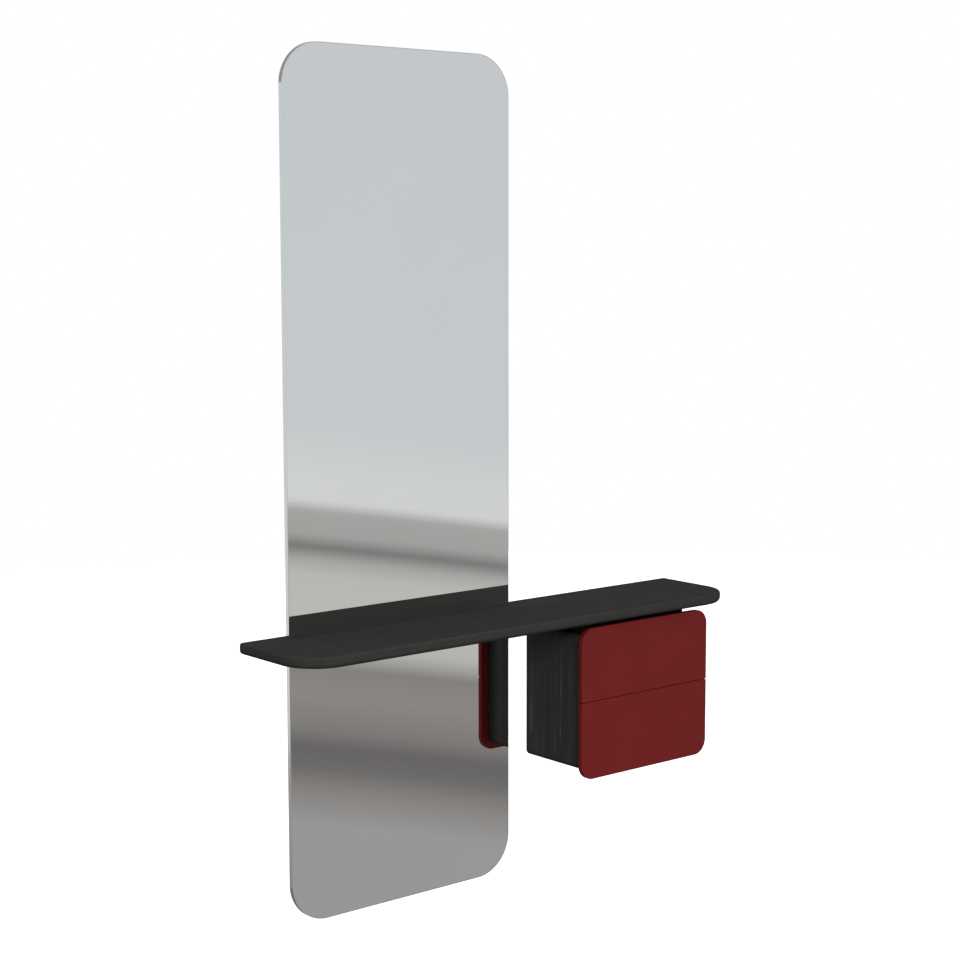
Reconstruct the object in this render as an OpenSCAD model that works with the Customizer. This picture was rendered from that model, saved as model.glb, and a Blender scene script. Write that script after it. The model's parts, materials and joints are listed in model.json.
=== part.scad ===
// Wall-mounted salon styling station: tall frameless mirror on hidden rails, a
// long shelf notched round the mirror, and a two-drawer cabinet hung under the
// shelf's right-hand end.  All sizes in millimetres, +Z up, +Y into the wall,
// wall plane at Y = 0, mirror centreline at X = 0.  Heights in the sections
// below are measured from the mirror's lower edge; the origin itself is the
// centre of the hole pattern of the mirror's upper wall rail.

/* [Mirror] */
// Width of the mirror panel
mirror_w = 600; // [560:10:640]
// Height of the mirror panel
mirror_h = 1850; // [1750:10:2000]
// Corner radius of the mirror panel
mirror_r = 90; // [40:5:110]
// Thickness of the silvered glass
glass_t = 5; // [4:0.5:5]
// Whole thickness of the mirror panel: glass, backing board and edge trim
panel_t = 11; // [10.5:0.5:12]
// Width of the aluminium trim round the panel's edge
trim_t = 1.2; // [1:0.1:2]
// Gap between the wall and the back of the mirror panel
standoff = 19; // [18:0.5:22]
// Height of the upper wall rail's holes above the mirror's lower edge
upper_rail_z = 1600; // [1500:10:1650]
// Height of the lower wall rail's holes above the mirror's lower edge
lower_rail_z = 300; // [200:10:380]
// Length of each wall rail and panel rail
rail_l = 400; // [360:10:440]
// Distance between the two holes of each wall rail
rail_pitch = 300; // [240:10:320]

/* [Shelf] */
// Reach of the shelf to the left of the mirror's centreline
shelf_left = 402; // [390:1:420]
// Reach of the shelf to the right of the mirror's centreline
shelf_right = 830.5; // [800:0.5:860]
// Depth of the shelf from the wall
shelf_d = 239; // [235:1:260]
// Thickness of the shelf board
shelf_t = 25; // [25:1:28]
// Height of the shelf's top face above the mirror's lower edge
shelf_top = 622.5; // [620:0.5:640]
// Plan radius of the shelf's two front corners
shelf_r = 92; // [60:2:110]
// Rounding of the shelf's upper edge
shelf_rt = 6; // [2:0.5:7]
// Rounding of the shelf's lower edge
shelf_rb = 10.5; // [5:0.5:13]
// Clearance between the notch in the shelf and the mirror panel
notch_gap = 0.5; // [0.5:0.1:1.5]
// How far the shelf reaches in behind each edge of the mirror panel
notch_lip = 25; // [10:1:25]

/* [Cabinet] */
// Distance from the mirror's centreline to the left edge of the drawer fronts
front_x = 360.5; // [350:0.5:370]
// Width of the drawer fronts
front_w = 398; // [390:1:400]
// Height of the lower front's bottom edge above the mirror's lower edge
front_z = 236.5; // [234:0.5:240]
// Height of the lower drawer front
lower_front_h = 178.5; // [174:0.5:180]
// Height of the upper drawer front
upper_front_h = 168.5; // [164:0.5:170]
// Gap between the two fronts
front_gap = 1; // [0.5:0.5:3]
// Thickness of the drawer fronts
front_t = 12; // [12:1:16]
// Radius of the outer corners of the pair of fronts
front_r = 35; // [20:1:45]
// Radius of the small corners at the gap
front_r2 = 2.5; // [1:0.5:4]
// How far the fronts stand past the cabinet at the sides
overhang = 19; // [16:1:22]
// How far the upper front stands above the cabinet
overhang_top = 20; // [18:0.5:22]
// How far the lower front stands below the cabinet
overhang_low = 16.5; // [15:0.5:20]
// Depth of the cabinet from the wall
cab_d = 199; // [197:1:204]
// Thickness of the cabinet's panels
board_t = 16; // [15:1:16]
// Rounding of the cabinet's long outer edges
cab_r = 14; // [4:1:14]
// Inset of the spacer block between the cabinet and the shelf
spacer_inset = 24; // [16:1:30]

/* [Drawers] */
// Travel of each drawer
travel = 127; // [60:1:127]
// Height of the upper drawer box
upper_box_h = 110; // [90:1:112]
// Height of the lower drawer box
lower_box_h = 120; // [90:1:122]
// Thickness of the drawer boxes' walls
box_t = 12; // [10:1:12]
// Thickness of the drawer boxes' bottoms
box_bottom_t = 5.8; // [4:0.2:6]
// Length of the ball-bearing runners
runner_l = 181; // [170:1:182]

/* [Hidden] */
$fn = 72;
e = 0.05;                                  // radial clearance of pins and screws in their holes
panel_y = -standoff - panel_t;             // front plane of the mirror panel
shelf_z = shelf_top - shelf_t;             // underside of the shelf
front_top = front_z + lower_front_h + front_gap + upper_front_h;
upper_front_z = front_z + lower_front_h + front_gap;
cab_x0 = front_x + overhang;               // outer faces of the cabinet
cab_x1 = front_x + front_w - overhang;
cab_z0 = front_z + overhang_low;
cab_z1 = front_top - overhang_top;
in_x0 = cab_x0 + board_t;                  // inner faces of the cabinet
in_x1 = cab_x1 - board_t;
front_back = -cab_d - 2;                   // back plane of the fronts, 2 mm clear of the cabinet
back_y = -12;                              // front face of the cabinet's back panel
back_t = 8;
runner_t = 10;                             // side space that one runner takes
box_x0 = in_x0 + runner_t;
box_x1 = in_x1 - runner_t;
box_y1 = -19;                              // back of the drawer boxes
upper_box_z = 426;
lower_box_z = 284;
upper_runner_z = 472;
lower_runner_z = 332;
cage_l = 50;                               // ball cage: sits so that both ends stay on the rails
cage_y = -133;
ball_r = 1.7;
bar_t = 5;                                 // concealed shelf support bars
bar_h = 16;
bar_z = shelf_z + 12.5;
rod_r = 6;
rod_l = 140;
left_bar = [-394, -318];                   // X reach of each bar
right_bar = [324, 804];
left_rods = [-384, -328];
right_rods = [344, 464, 664, 784];
left_bar_holes = [-371, -341];
right_bar_holes = [394, 734];
spacer_x = [431.5, 687.5];
spacer_y = [-150, -45];
rail_screw_x = [-170, -60, 60, 170];
pad_x = [-235, 235];
buffer_x = [cab_x0 + board_t / 2, cab_x1 - board_t / 2];

// ---------- helpers ----------

// everything is drawn from the mirror's lower edge, then set on the origin
module frame() { translate([0, 0, -upper_rail_z]) children(); }

// box from its low and high corners
module block(a, b) { translate(a) cube(b - a); }

// outline with four corner radii: bottom left, bottom right, top right, top left
module outline(w, h, r) {
  polygon([[r[0], 0], [w - r[1], 0], [w, r[1]], [w, h - r[2]],
           [w - r[2], h], [r[3], h], [0, h - r[3]], [0, r[0]]]);
  translate([r[0], r[0]]) circle(r[0]);
  translate([w - r[1], r[1]]) circle(r[1]);
  translate([w - r[2], h - r[2]]) circle(r[2]);
  translate([r[3], h - r[3]]) circle(r[3]);
}

// plate standing parallel to the wall, from y0 to y1
module wall_plate(x, z, w, h, r, y0, y1) {
  translate([x, y1, z]) rotate([90, 0, 0]) linear_extrude(y1 - y0) outline(w, h, r);
}

// bar along X whose section is drawn in (Y, Z)
module x_bar(x0, x1) {
  translate([x0, 0, 0]) rotate([90, 0, 90]) linear_extrude(x1 - x0) children();
}

// bar along Y whose section is drawn in (X, Z)
module y_bar(y0, y1) {
  translate([0, y1, 0]) rotate([90, 0, 0]) linear_extrude(y1 - y0) children();
}

// round pin or hole along Y, Z or X
module y_pin(x, z, r, y0, y1) { translate([x, y1, z]) rotate([90, 0, 0]) cylinder(r = r, h = y1 - y0); }
module z_pin(x, y, r, z0, z1) { translate([x, y, z0]) cylinder(r = r, h = z1 - z0); }
module x_pin(y, z, r, x0, x1) { translate([x0, y, z]) rotate([0, 90, 0]) cylinder(r = r, h = x1 - x0); }

// ---------- mirror ----------

module mirror_glass() {
  g = trim_t + 0.1;
  color([0.78, 0.80, 0.82]) frame()
    wall_plate(-mirror_w / 2 + g, g, mirror_w - 2 * g, mirror_h - 2 * g,
               [for (i = [0:3]) mirror_r - g], panel_y + 0.2, panel_y + 0.2 + glass_t);
}

module mirror_backing_board() {
  g = trim_t + 0.1;
  color([0.62, 0.50, 0.38]) frame() difference() {
    wall_plate(-mirror_w / 2 + g, g, mirror_w - 2 * g, mirror_h - 2 * g,
               [for (i = [0:3]) mirror_r - g], panel_y + 0.2 + glass_t, -standoff);
    for (z = [upper_rail_z, lower_rail_z], x = rail_screw_x)
      y_pin(x, z + 12, 1.5 + e, -standoff - 4.5, -standoff + 1);
  }
}

module mirror_edge_trim() {
  color([0.80, 0.81, 0.82]) frame() difference() {
    wall_plate(-mirror_w / 2, 0, mirror_w, mirror_h, [for (i = [0:3]) mirror_r], panel_y, -standoff);
    wall_plate(-mirror_w / 2 + trim_t, trim_t, mirror_w - 2 * trim_t, mirror_h - 2 * trim_t,
               [for (i = [0:3]) mirror_r - trim_t], panel_y - 1, -standoff + 1);
  }
}

// hooked rail on the wall; its section is drawn round the hole height
module wall_rail(z, c) {
  color(c) frame() difference() {
    x_bar(-rail_l / 2, rail_l / 2)
      polygon([[0, z - 18], [-3, z - 18], [-3, z + 8], [-11, z + 8], [-11, z + 24],
               [-8, z + 24], [-8, z + 11], [0, z + 11]]);
    for (x = [-rail_pitch / 2, rail_pitch / 2]) y_pin(x, z, 3.25, -4, 1);
  }
}

module mirror_upper_wall_rail() { wall_rail(upper_rail_z, [0.75, 0.76, 0.77]); }
module mirror_lower_wall_rail() { wall_rail(lower_rail_z, [0.75, 0.76, 0.77]); }

// matching rail on the back of the panel: its lip hangs behind the wall rail's hook
module panel_rail(z, lift) {
  color([0.70, 0.71, 0.72]) frame() difference() {
    x_bar(-rail_l / 2 + 5, rail_l / 2 - 5)
      polygon([[-standoff, z + 2], [-standoff + 3, z + 2], [-standoff + 3, z + 24 + lift],
               [-7.5, z + 24 + lift], [-7.5, z + 16], [-4.5, z + 16], [-4.5, z + 27 + lift],
               [-standoff, z + 27 + lift]]);
    for (x = rail_screw_x) y_pin(x, z + 12, 1.5 + e, -standoff - 1, -standoff + 4);
  }
}

module mirror_upper_panel_rail() { panel_rail(upper_rail_z, 0); }
module mirror_lower_panel_rail() { panel_rail(lower_rail_z, 1); }

module mirror_rail_screws() {
  color([0.80, 0.78, 0.70]) frame()
    for (z = [upper_rail_z, lower_rail_z], x = rail_screw_x) {
      y_pin(x, z + 12, 1.5, -standoff - 4, -standoff + 3);
      y_pin(x, z + 12, 3, -standoff + 3, -standoff + 4.6);
    }
}

module mirror_spacer_pads() {
  color([0.12, 0.12, 0.12]) frame()
    for (z = [70, mirror_h - 70], x = pad_x) y_pin(x, z, 12, -standoff, 0);
}

// ---------- shelf ----------

// quarter of the shelf's edge section: r outward, upper rounding rt, lower rounding rb
module shelf_edge(r) {
  polygon([[0, 0], [r - shelf_rb, 0], [r, shelf_rb], [r, shelf_t - shelf_rt], [r - shelf_rt, shelf_t], [0, shelf_t]]);
  translate([r - shelf_rb, shelf_rb]) circle(shelf_rb);
  translate([r - shelf_rt, shelf_t - shelf_rt]) circle(shelf_rt);
}

// section across the shelf, rounded at both ends, w long
module shelf_section(w) {
  polygon([[shelf_rb, 0], [w - shelf_rb, 0], [w, shelf_rb], [w, shelf_t - shelf_rt],
           [w - shelf_rt, shelf_t], [shelf_rt, shelf_t], [0, shelf_t - shelf_rt], [0, shelf_rb]]);
  translate([shelf_rb, shelf_rb]) circle(shelf_rb);
  translate([w - shelf_rb, shelf_rb]) circle(shelf_rb);
  translate([shelf_rt, shelf_t - shelf_rt]) circle(shelf_rt);
  translate([w - shelf_rt, shelf_t - shelf_rt]) circle(shelf_rt);
}

module shelf_board() {
  yc = -shelf_d + shelf_r;
  xl = -shelf_left;
  xr = shelf_right;
  n = mirror_w / 2 + notch_gap;
  color([0.17, 0.165, 0.16]) frame() difference() {
    translate([0, 0, shelf_z]) union() {
      // whole length, from the front corners' centres back to the wall
      y_bar(yc, 0) translate([xl, 0]) shelf_section(xr - xl);
      // front strip between the corners
      translate([xl + shelf_r, yc, 0]) rotate([90, 0, 90]) linear_extrude(xr - xl - 2 * shelf_r)
        mirror([1, 0]) shelf_edge(shelf_r);
      translate([xl + shelf_r, yc, 0]) rotate([0, 0, 180]) rotate_extrude(angle = 90) shelf_edge(shelf_r);
      translate([xr - shelf_r, yc, 0]) rotate([0, 0, 270]) rotate_extrude(angle = 90) shelf_edge(shelf_r);
    }
    // notch for the mirror: as wide as the panel where the panel stands, narrower behind it, so that the
    // shelf's two ends reach in behind the panel's edges
    block([-n, panel_y - notch_gap, shelf_z - 1], [n, -standoff + notch_gap, shelf_top + 1]);
    block([-mirror_w / 2 + notch_lip, -standoff, shelf_z - 1], [mirror_w / 2 - notch_lip, 1, shelf_top + 1]);
    // grooves for the support bars
    block([left_bar[0] - 1, -bar_t - 0.5, bar_z - bar_h / 2 - 0.3], [left_bar[1] + 1, 1, bar_z + bar_h / 2 + 0.3]);
    block([right_bar[0] - 1, -bar_t - 0.5, bar_z - bar_h / 2 - 0.3], [right_bar[1] + 1, 1, bar_z + bar_h / 2 + 0.3]);
    // bores for the rods
    for (x = concat(left_rods, right_rods)) y_pin(x, bar_z, rod_r + 0.1, -rod_l - 8, -bar_t);
    // threads for the locking screws
    for (x = concat(left_rods, right_rods)) z_pin(x, -110, 3 + e, shelf_z - 1, bar_z);
    // pilot holes for the screws from the cabinet
    for (x = spacer_x, y = spacer_y) z_pin(x, y, 2.5 + e, shelf_z - 1, shelf_z + 17);
  }
}

module support_bar(b, rods, holes) {
  color([0.30, 0.30, 0.31]) frame() difference() {
    block([b[0], -bar_t, bar_z - bar_h / 2], [b[1], 0, bar_z + bar_h / 2]);
    for (x = holes) y_pin(x, bar_z, 3.25, -bar_t - 1, 1);
  }
}

module shelf_left_support_bar() { support_bar(left_bar, left_rods, left_bar_holes); }
module shelf_right_support_bar() { support_bar(right_bar, right_rods, right_bar_holes); }

module shelf_support_rods() {
  color([0.55, 0.55, 0.56]) frame()
    for (x = concat(left_rods, right_rods)) y_pin(x, bar_z, rod_r, -bar_t - rod_l, -bar_t);
}

module shelf_locking_screws() {
  color([0.25, 0.25, 0.26]) frame()
    for (x = concat(left_rods, right_rods)) difference() {
      z_pin(x, -110, 3, shelf_z + 0.6, bar_z - rod_r);
      // hexagon socket
      translate([x, -110, shelf_z]) cylinder(r = 1.7, h = 3.2, $fn = 6);
    }
}

// ---------- cabinet ----------

module cabinet_spacer() {
  color([0.05, 0.05, 0.05]) frame() difference() {
    block([cab_x0 + spacer_inset, -cab_d + spacer_inset, cab_z1], [cab_x1 - spacer_inset, -4, shelf_z]);
    for (x = spacer_x, y = spacer_y) z_pin(x, y, 2.5 + e, cab_z1 - 1, shelf_z + 1);
  }
}

module cabinet_to_shelf_screws() {
  color([0.78, 0.76, 0.68]) frame()
    for (x = spacer_x, y = spacer_y) {
      z_pin(x, y, 2.5, cab_z1 - board_t, shelf_z + 16);
      z_pin(x, y, 5, cab_z1 - board_t - 2.4, cab_z1 - board_t);
    }
}

// side panel, its two long outer edges rounded; drawn as the left one
module side_panel() {
  h = cab_z1 - cab_z0;
  y_bar(-cab_d, 0) translate([cab_x0, cab_z0]) intersection() {
    union() {
      polygon([[cab_r, 0], [board_t, 0], [board_t, h], [cab_r, h], [0, h - cab_r], [0, cab_r]]);
      translate([cab_r, cab_r]) circle(cab_r);
      translate([cab_r, h - cab_r]) circle(cab_r);
    }
    square([board_t, h]);
  }
}

dowel_y = [-165, -45];
dowel_z = [cab_z0 + board_t / 2, cab_z1 - board_t / 2];
cab_screw_y = [-180, -40];

module side_holes() {
  // blind holes for the dowels and for the runner screws
  for (y = dowel_y, z = dowel_z) x_pin(y, z, 4 + e, in_x0 - 11, in_x0 + 1);
  for (y = cab_screw_y, z = [upper_runner_z, lower_runner_z]) x_pin(y, z, 1.5 + e, in_x0 - 11, in_x0 + 1);
}

module cabinet_left_side() {
  color([0.14, 0.14, 0.14]) frame() difference() { side_panel(); side_holes(); }
}

module mirrored() { translate([cab_x0 + cab_x1, 0, 0]) mirror([1, 0, 0]) children(); }

module cabinet_right_side() {
  color([0.14, 0.14, 0.14]) frame() mirrored() difference() { side_panel(); side_holes(); }
}

module dowels_one_side(grow, long) {
  for (y = dowel_y, z = dowel_z) x_pin(y, z, 4 + grow, in_x0 - 10.5 - long, in_x0 + 18.5 + long);
}

module cabinet_dowels() {
  color([0.80, 0.66, 0.48]) frame() { dowels_one_side(0, 0); mirrored() dowels_one_side(0, 0); }
}

module cabinet_top() {
  color([0.14, 0.14, 0.14]) frame() difference() {
    block([in_x0, -cab_d, cab_z1 - board_t], [in_x1, 0, cab_z1]);
    dowels_one_side(e, 0.5);
    mirrored() dowels_one_side(e, 0.5);
    for (x = spacer_x, y = spacer_y) z_pin(x, y, 2.5 + e, cab_z1 - board_t - 1, cab_z1 + 1);
  }
}

module cabinet_bottom() {
  color([0.14, 0.14, 0.14]) frame() difference() {
    block([in_x0, -cab_d, cab_z0], [in_x1, 0, cab_z0 + board_t]);
    dowels_one_side(e, 0.5);
    mirrored() dowels_one_side(e, 0.5);
  }
}

plate_x = [449.5, 669.5];
plate_z = [487, 517];
plate_fix_x = [489.5, 629.5];
plate_fix_z = 502;

module cabinet_back() {
  color([0.16, 0.16, 0.16]) frame() difference() {
    block([in_x0, back_y, cab_z0 + board_t], [in_x1, back_y + back_t, cab_z1 - board_t]);
    for (x = plate_fix_x) y_pin(x, plate_fix_z, 3 + e, back_y - 1, back_y + back_t + 1);
  }
}

module cabinet_wall_plate() {
  color([0.72, 0.73, 0.74]) frame() difference() {
    block([419.5, back_y + back_t, 472], [699.5, 0, 532]);
    for (x = plate_x, z = plate_z) y_pin(x, z, 3.5, -5, 1);
    for (x = plate_fix_x) y_pin(x, plate_fix_z, 3 + e, -5, 1);
  }
}

module cabinet_plate_screws() {
  color([0.78, 0.76, 0.68]) frame()
    for (x = plate_fix_x) {
      y_pin(x, plate_fix_z, 3, back_y, -0.5);
      difference() {
        y_pin(x, plate_fix_z, 6, back_y - 3, back_y);
        translate([x, back_y - 1.2, plate_fix_z]) rotate([90, 0, 0]) cylinder(r = 2.2, h = 4, $fn = 6);
      }
    }
}

module cabinet_front_buffers() {
  color([0.85, 0.85, 0.83]) frame()
    for (x = buffer_x, z = [upper_front_z + 22, cab_z1 - 30, cab_z0 + 30, front_z + lower_front_h - 22])
      y_pin(x, z, 4, front_back + 0.1, -cab_d);
}

// ---------- drawers ----------

screw_in = 40; // inset of the front screws from the box's sides

module drawer_front(z, h, r, bz, bh) {
  color([0.42, 0.14, 0.14]) frame() difference() {
    wall_plate(front_x, z, front_w, h, r, front_back - front_t, front_back);
    for (x = [box_x0 + screw_in, box_x1 - screw_in], s = [bz + 25, bz + bh - 20])
      y_pin(x, s, 2 + e, front_back - 8.5, front_back + 1);
  }
}

module upper_drawer_front() {
  drawer_front(upper_front_z, upper_front_h, [front_r2, front_r2, front_r, front_r], upper_box_z, upper_box_h);
}

module lower_drawer_front() {
  drawer_front(front_z, lower_front_h, [front_r, front_r, front_r2, front_r2], lower_box_z, lower_box_h);
}

module front_screws(bz, bh) {
  color([0.78, 0.76, 0.68]) frame()
    for (x = [box_x0 + screw_in, box_x1 - screw_in], s = [bz + 25, bz + bh - 20]) {
      y_pin(x, s, 2, front_back - 8, front_back + box_t);
      y_pin(x, s, 4, front_back + box_t, front_back + box_t + 1.8);
    }
}

module upper_front_screws() { front_screws(upper_box_z, upper_box_h); }
module lower_front_screws() { front_screws(lower_box_z, lower_box_h); }

box_color = [0.77, 0.71, 0.60];
groove_d = 6;     // depth of the groove that holds the bottom
bottom_up = 8;    // height of the bottom above the box's lower edge
run_screw_y = [-170, -60];

module box_side(bz, bh, rz) {
  difference() {
    block([box_x0, front_back, bz], [box_x0 + box_t, box_y1, bz + bh]);
    block([box_x0 + box_t - groove_d, front_back + box_t - groove_d, bz + bottom_up],
          [box_x0 + box_t + 1, box_y1 - box_t + groove_d, bz + bottom_up + 6]);
    for (y = run_screw_y) x_pin(y, rz, 1.5 + e, box_x0 - 1, box_x0 + 9.5);
  }
}

module upper_box_left_side() { color(box_color) frame() box_side(upper_box_z, upper_box_h, upper_runner_z); }
module upper_box_right_side() { color(box_color) frame() mirrored() box_side(upper_box_z, upper_box_h, upper_runner_z); }
module lower_box_left_side() { color(box_color) frame() box_side(lower_box_z, lower_box_h, lower_runner_z); }
module lower_box_right_side() { color(box_color) frame() mirrored() box_side(lower_box_z, lower_box_h, lower_runner_z); }

module box_front(bz, bh) {
  color(box_color) frame() difference() {
    block([box_x0 + box_t, front_back, bz], [box_x1 - box_t, front_back + box_t, bz + bh]);
    block([box_x0, front_back + box_t - groove_d, bz + bottom_up],
          [box_x1, front_back + box_t + 1, bz + bottom_up + 6]);
    for (x = [box_x0 + screw_in, box_x1 - screw_in], s = [bz + 25, bz + bh - 20])
      y_pin(x, s, 2 + e, front_back - 1, front_back + box_t + 1);
  }
}

module upper_box_front() { box_front(upper_box_z, upper_box_h); }
module lower_box_front() { box_front(lower_box_z, lower_box_h); }

module box_back(bz, bh) {
  color(box_color) frame() difference() {
    block([box_x0 + box_t, box_y1 - box_t, bz], [box_x1 - box_t, box_y1, bz + bh]);
    block([box_x0, box_y1 - box_t - 1, bz + bottom_up],
          [box_x1, box_y1 - box_t + groove_d, bz + bottom_up + 6]);
  }
}

module upper_box_back() { box_back(upper_box_z, upper_box_h); }
module lower_box_back() { box_back(lower_box_z, lower_box_h); }

module box_bottom(bz) {
  color([0.80, 0.76, 0.68]) frame()
    block([box_x0 + box_t - groove_d + 0.3, front_back + box_t - groove_d + 0.3, bz + bottom_up + 0.1],
          [box_x1 - box_t + groove_d - 0.3, box_y1 - box_t + groove_d - 0.3, bz + bottom_up + 0.1 + box_bottom_t]);
}

module upper_box_bottom() { box_bottom(upper_box_z); }
module lower_box_bottom() { box_bottom(lower_box_z); }

// ---------- ball-bearing runners ----------
// Sections are drawn in (u, z): u outward from the cabinet's side, z from the runner's middle.

runner_y0 = -cab_d + 1;
runner_y1 = runner_y0 + runner_l;

module outer_section() {
  polygon([[0, -13.5], [8, -13.5], [8, -11.3], [7, -11.3], [7, -12.5], [1, -12.5],
           [1, 12.5], [7, 12.5], [7, 11.3], [8, 11.3], [8, 13.5], [0, 13.5]]);
}

module inner_section() {
  polygon([[10, -9], [10, 9], [2.5, 9], [2.5, 8], [9, 8], [9, -8], [2.5, -8], [2.5, -9]]);
}

module runner_outer(rz) {
  difference() {
    union() {
      y_bar(runner_y0, runner_y1) translate([in_x0, rz]) outer_section();
      // bent tab that stops the ball cage
      block([in_x0 + 0.5, runner_y0, rz - 3], [in_x0 + 2.2, runner_y0 + 1.2, rz + 3]);
    }
    for (y = cab_screw_y) x_pin(y, rz, 3 + e, in_x0 - 1, in_x0 + 2);
  }
}

module runner_inner(rz) {
  difference() {
    union() {
      y_bar(runner_y0, runner_y1) translate([in_x0, rz]) inner_section();
      // bent tab that meets the ball cage at full extension
      block([in_x0 + 1.5, runner_y1 - 1.2, rz - 3], [in_x0 + 9.5, runner_y1, rz + 3]);
    }
    for (y = run_screw_y) x_pin(y, rz, 3 + e, in_x0 + 8, in_x0 + 11);
  }
}

module ball_cage(rz) {
  difference() {
    union() {
      block([in_x0 + 1.4, cage_y, rz - 11.05], [in_x0 + 2.0, cage_y + cage_l, rz + 11.05]);
      for (s = [-1, 1])
        translate([0, 0, rz + s * 10.75]) block([in_x0 + 1.7, cage_y, -0.3], [in_x0 + 6.6, cage_y + cage_l, 0.3]);
    }
    for (s = [-1, 1], i = [0:4]) z_pin(in_x0 + 4.7, cage_y + 5 + 10 * i, ball_r + 0.1, rz + s * 10.75 - 1, rz + s * 10.75 + 1);
  }
}

module balls(rz) {
  for (s = [-1, 1], i = [0:4]) translate([in_x0 + 4.7, cage_y + 5 + 10 * i, rz + s * 10.75]) sphere(ball_r, $fn = 24);
}

steel_a = [0.66, 0.67, 0.68];
steel_b = [0.74, 0.75, 0.76];
module upper_left_runner_outer() { color(steel_a) frame() runner_outer(upper_runner_z); }
module upper_left_runner_inner() { color(steel_b) frame() runner_inner(upper_runner_z); }
module upper_left_ball_cage() { color([0.60, 0.56, 0.40]) frame() ball_cage(upper_runner_z); }
module upper_left_balls() { color([0.85, 0.86, 0.88]) frame() balls(upper_runner_z); }
module upper_right_runner_outer() { color(steel_a) frame() mirrored() runner_outer(upper_runner_z); }
module upper_right_runner_inner() { color(steel_b) frame() mirrored() runner_inner(upper_runner_z); }
module upper_right_ball_cage() { color([0.60, 0.56, 0.40]) frame() mirrored() ball_cage(upper_runner_z); }
module upper_right_balls() { color([0.85, 0.86, 0.88]) frame() mirrored() balls(upper_runner_z); }
module lower_left_runner_outer() { color(steel_a) frame() runner_outer(lower_runner_z); }
module lower_left_runner_inner() { color(steel_b) frame() runner_inner(lower_runner_z); }
module lower_left_ball_cage() { color([0.60, 0.56, 0.40]) frame() ball_cage(lower_runner_z); }
module lower_left_balls() { color([0.85, 0.86, 0.88]) frame() balls(lower_runner_z); }
module lower_right_runner_outer() { color(steel_a) frame() mirrored() runner_outer(lower_runner_z); }
module lower_right_runner_inner() { color(steel_b) frame() mirrored() runner_inner(lower_runner_z); }
module lower_right_ball_cage() { color([0.60, 0.56, 0.40]) frame() mirrored() ball_cage(lower_runner_z); }
module lower_right_balls() { color([0.85, 0.86, 0.88]) frame() mirrored() balls(lower_runner_z); }

// flush screws: head in the runner's web, shank in the panel
module cabinet_side_screws(rz) {
  for (y = cab_screw_y) {
    x_pin(y, rz, 1.5, in_x0 - 10.5, in_x0 + 0.1);
    x_pin(y, rz, 3, in_x0 + 0.1, in_x0 + 0.9);
  }
}

module cabinet_runner_screws() {
  color([0.78, 0.76, 0.68]) frame() for (rz = [upper_runner_z, lower_runner_z]) {
    cabinet_side_screws(rz);
    mirrored() cabinet_side_screws(rz);
  }
}

module box_side_screws(rz) {
  for (y = run_screw_y) {
    x_pin(y, rz, 1.5, in_x0 + 9.9, in_x0 + 19);
    x_pin(y, rz, 3, in_x0 + 9.1, in_x0 + 9.9);
  }
}

module upper_runner_screws() { color([0.78, 0.76, 0.68]) frame() { box_side_screws(upper_runner_z); mirrored() box_side_screws(upper_runner_z); } }
module lower_runner_screws() { color([0.78, 0.76, 0.68]) frame() { box_side_screws(lower_runner_z); mirrored() box_side_screws(lower_runner_z); } }

// ---------- what is drawn ----------
mirror_glass();
mirror_backing_board();
mirror_edge_trim();
mirror_upper_wall_rail();
mirror_lower_wall_rail();
mirror_upper_panel_rail();
mirror_lower_panel_rail();
mirror_rail_screws();
mirror_spacer_pads();
shelf_board();
shelf_left_support_bar();
shelf_right_support_bar();
shelf_support_rods();
shelf_locking_screws();
cabinet_spacer();
cabinet_to_shelf_screws();
cabinet_left_side();
cabinet_right_side();
cabinet_top();
cabinet_bottom();
cabinet_back();
cabinet_dowels();
cabinet_wall_plate();
cabinet_plate_screws();
cabinet_front_buffers();
upper_drawer_front();
upper_box_left_side();
upper_box_right_side();
upper_box_front();
upper_box_back();
upper_box_bottom();
upper_front_screws();
lower_drawer_front();
lower_box_left_side();
lower_box_right_side();
lower_box_front();
lower_box_back();
lower_box_bottom();
lower_front_screws();
upper_left_runner_outer();
upper_left_runner_inner();
upper_left_ball_cage();
upper_left_balls();
upper_right_runner_outer();
upper_right_runner_inner();
upper_right_ball_cage();
upper_right_balls();
lower_left_runner_outer();
lower_left_runner_inner();
lower_left_ball_cage();
lower_left_balls();
lower_right_runner_outer();
lower_right_runner_inner();
lower_right_ball_cage();
lower_right_balls();
cabinet_runner_screws();
upper_runner_screws();
lower_runner_screws();
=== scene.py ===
"""Looks of the wall-mounted salon styling station.

Every visible piece is rebuilt here as a finished mesh (rounded arrises, recessed screws, bent-sheet runners, fluted
dowels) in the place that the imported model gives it, and gets a procedural material.  Lengths in the mesh code are
millimetres in the model's own frame; they become metres when a piece is finished.
"""

import json
import math

import bmesh
import bpy
import numpy as np
from mathutils import Matrix, Vector


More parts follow.
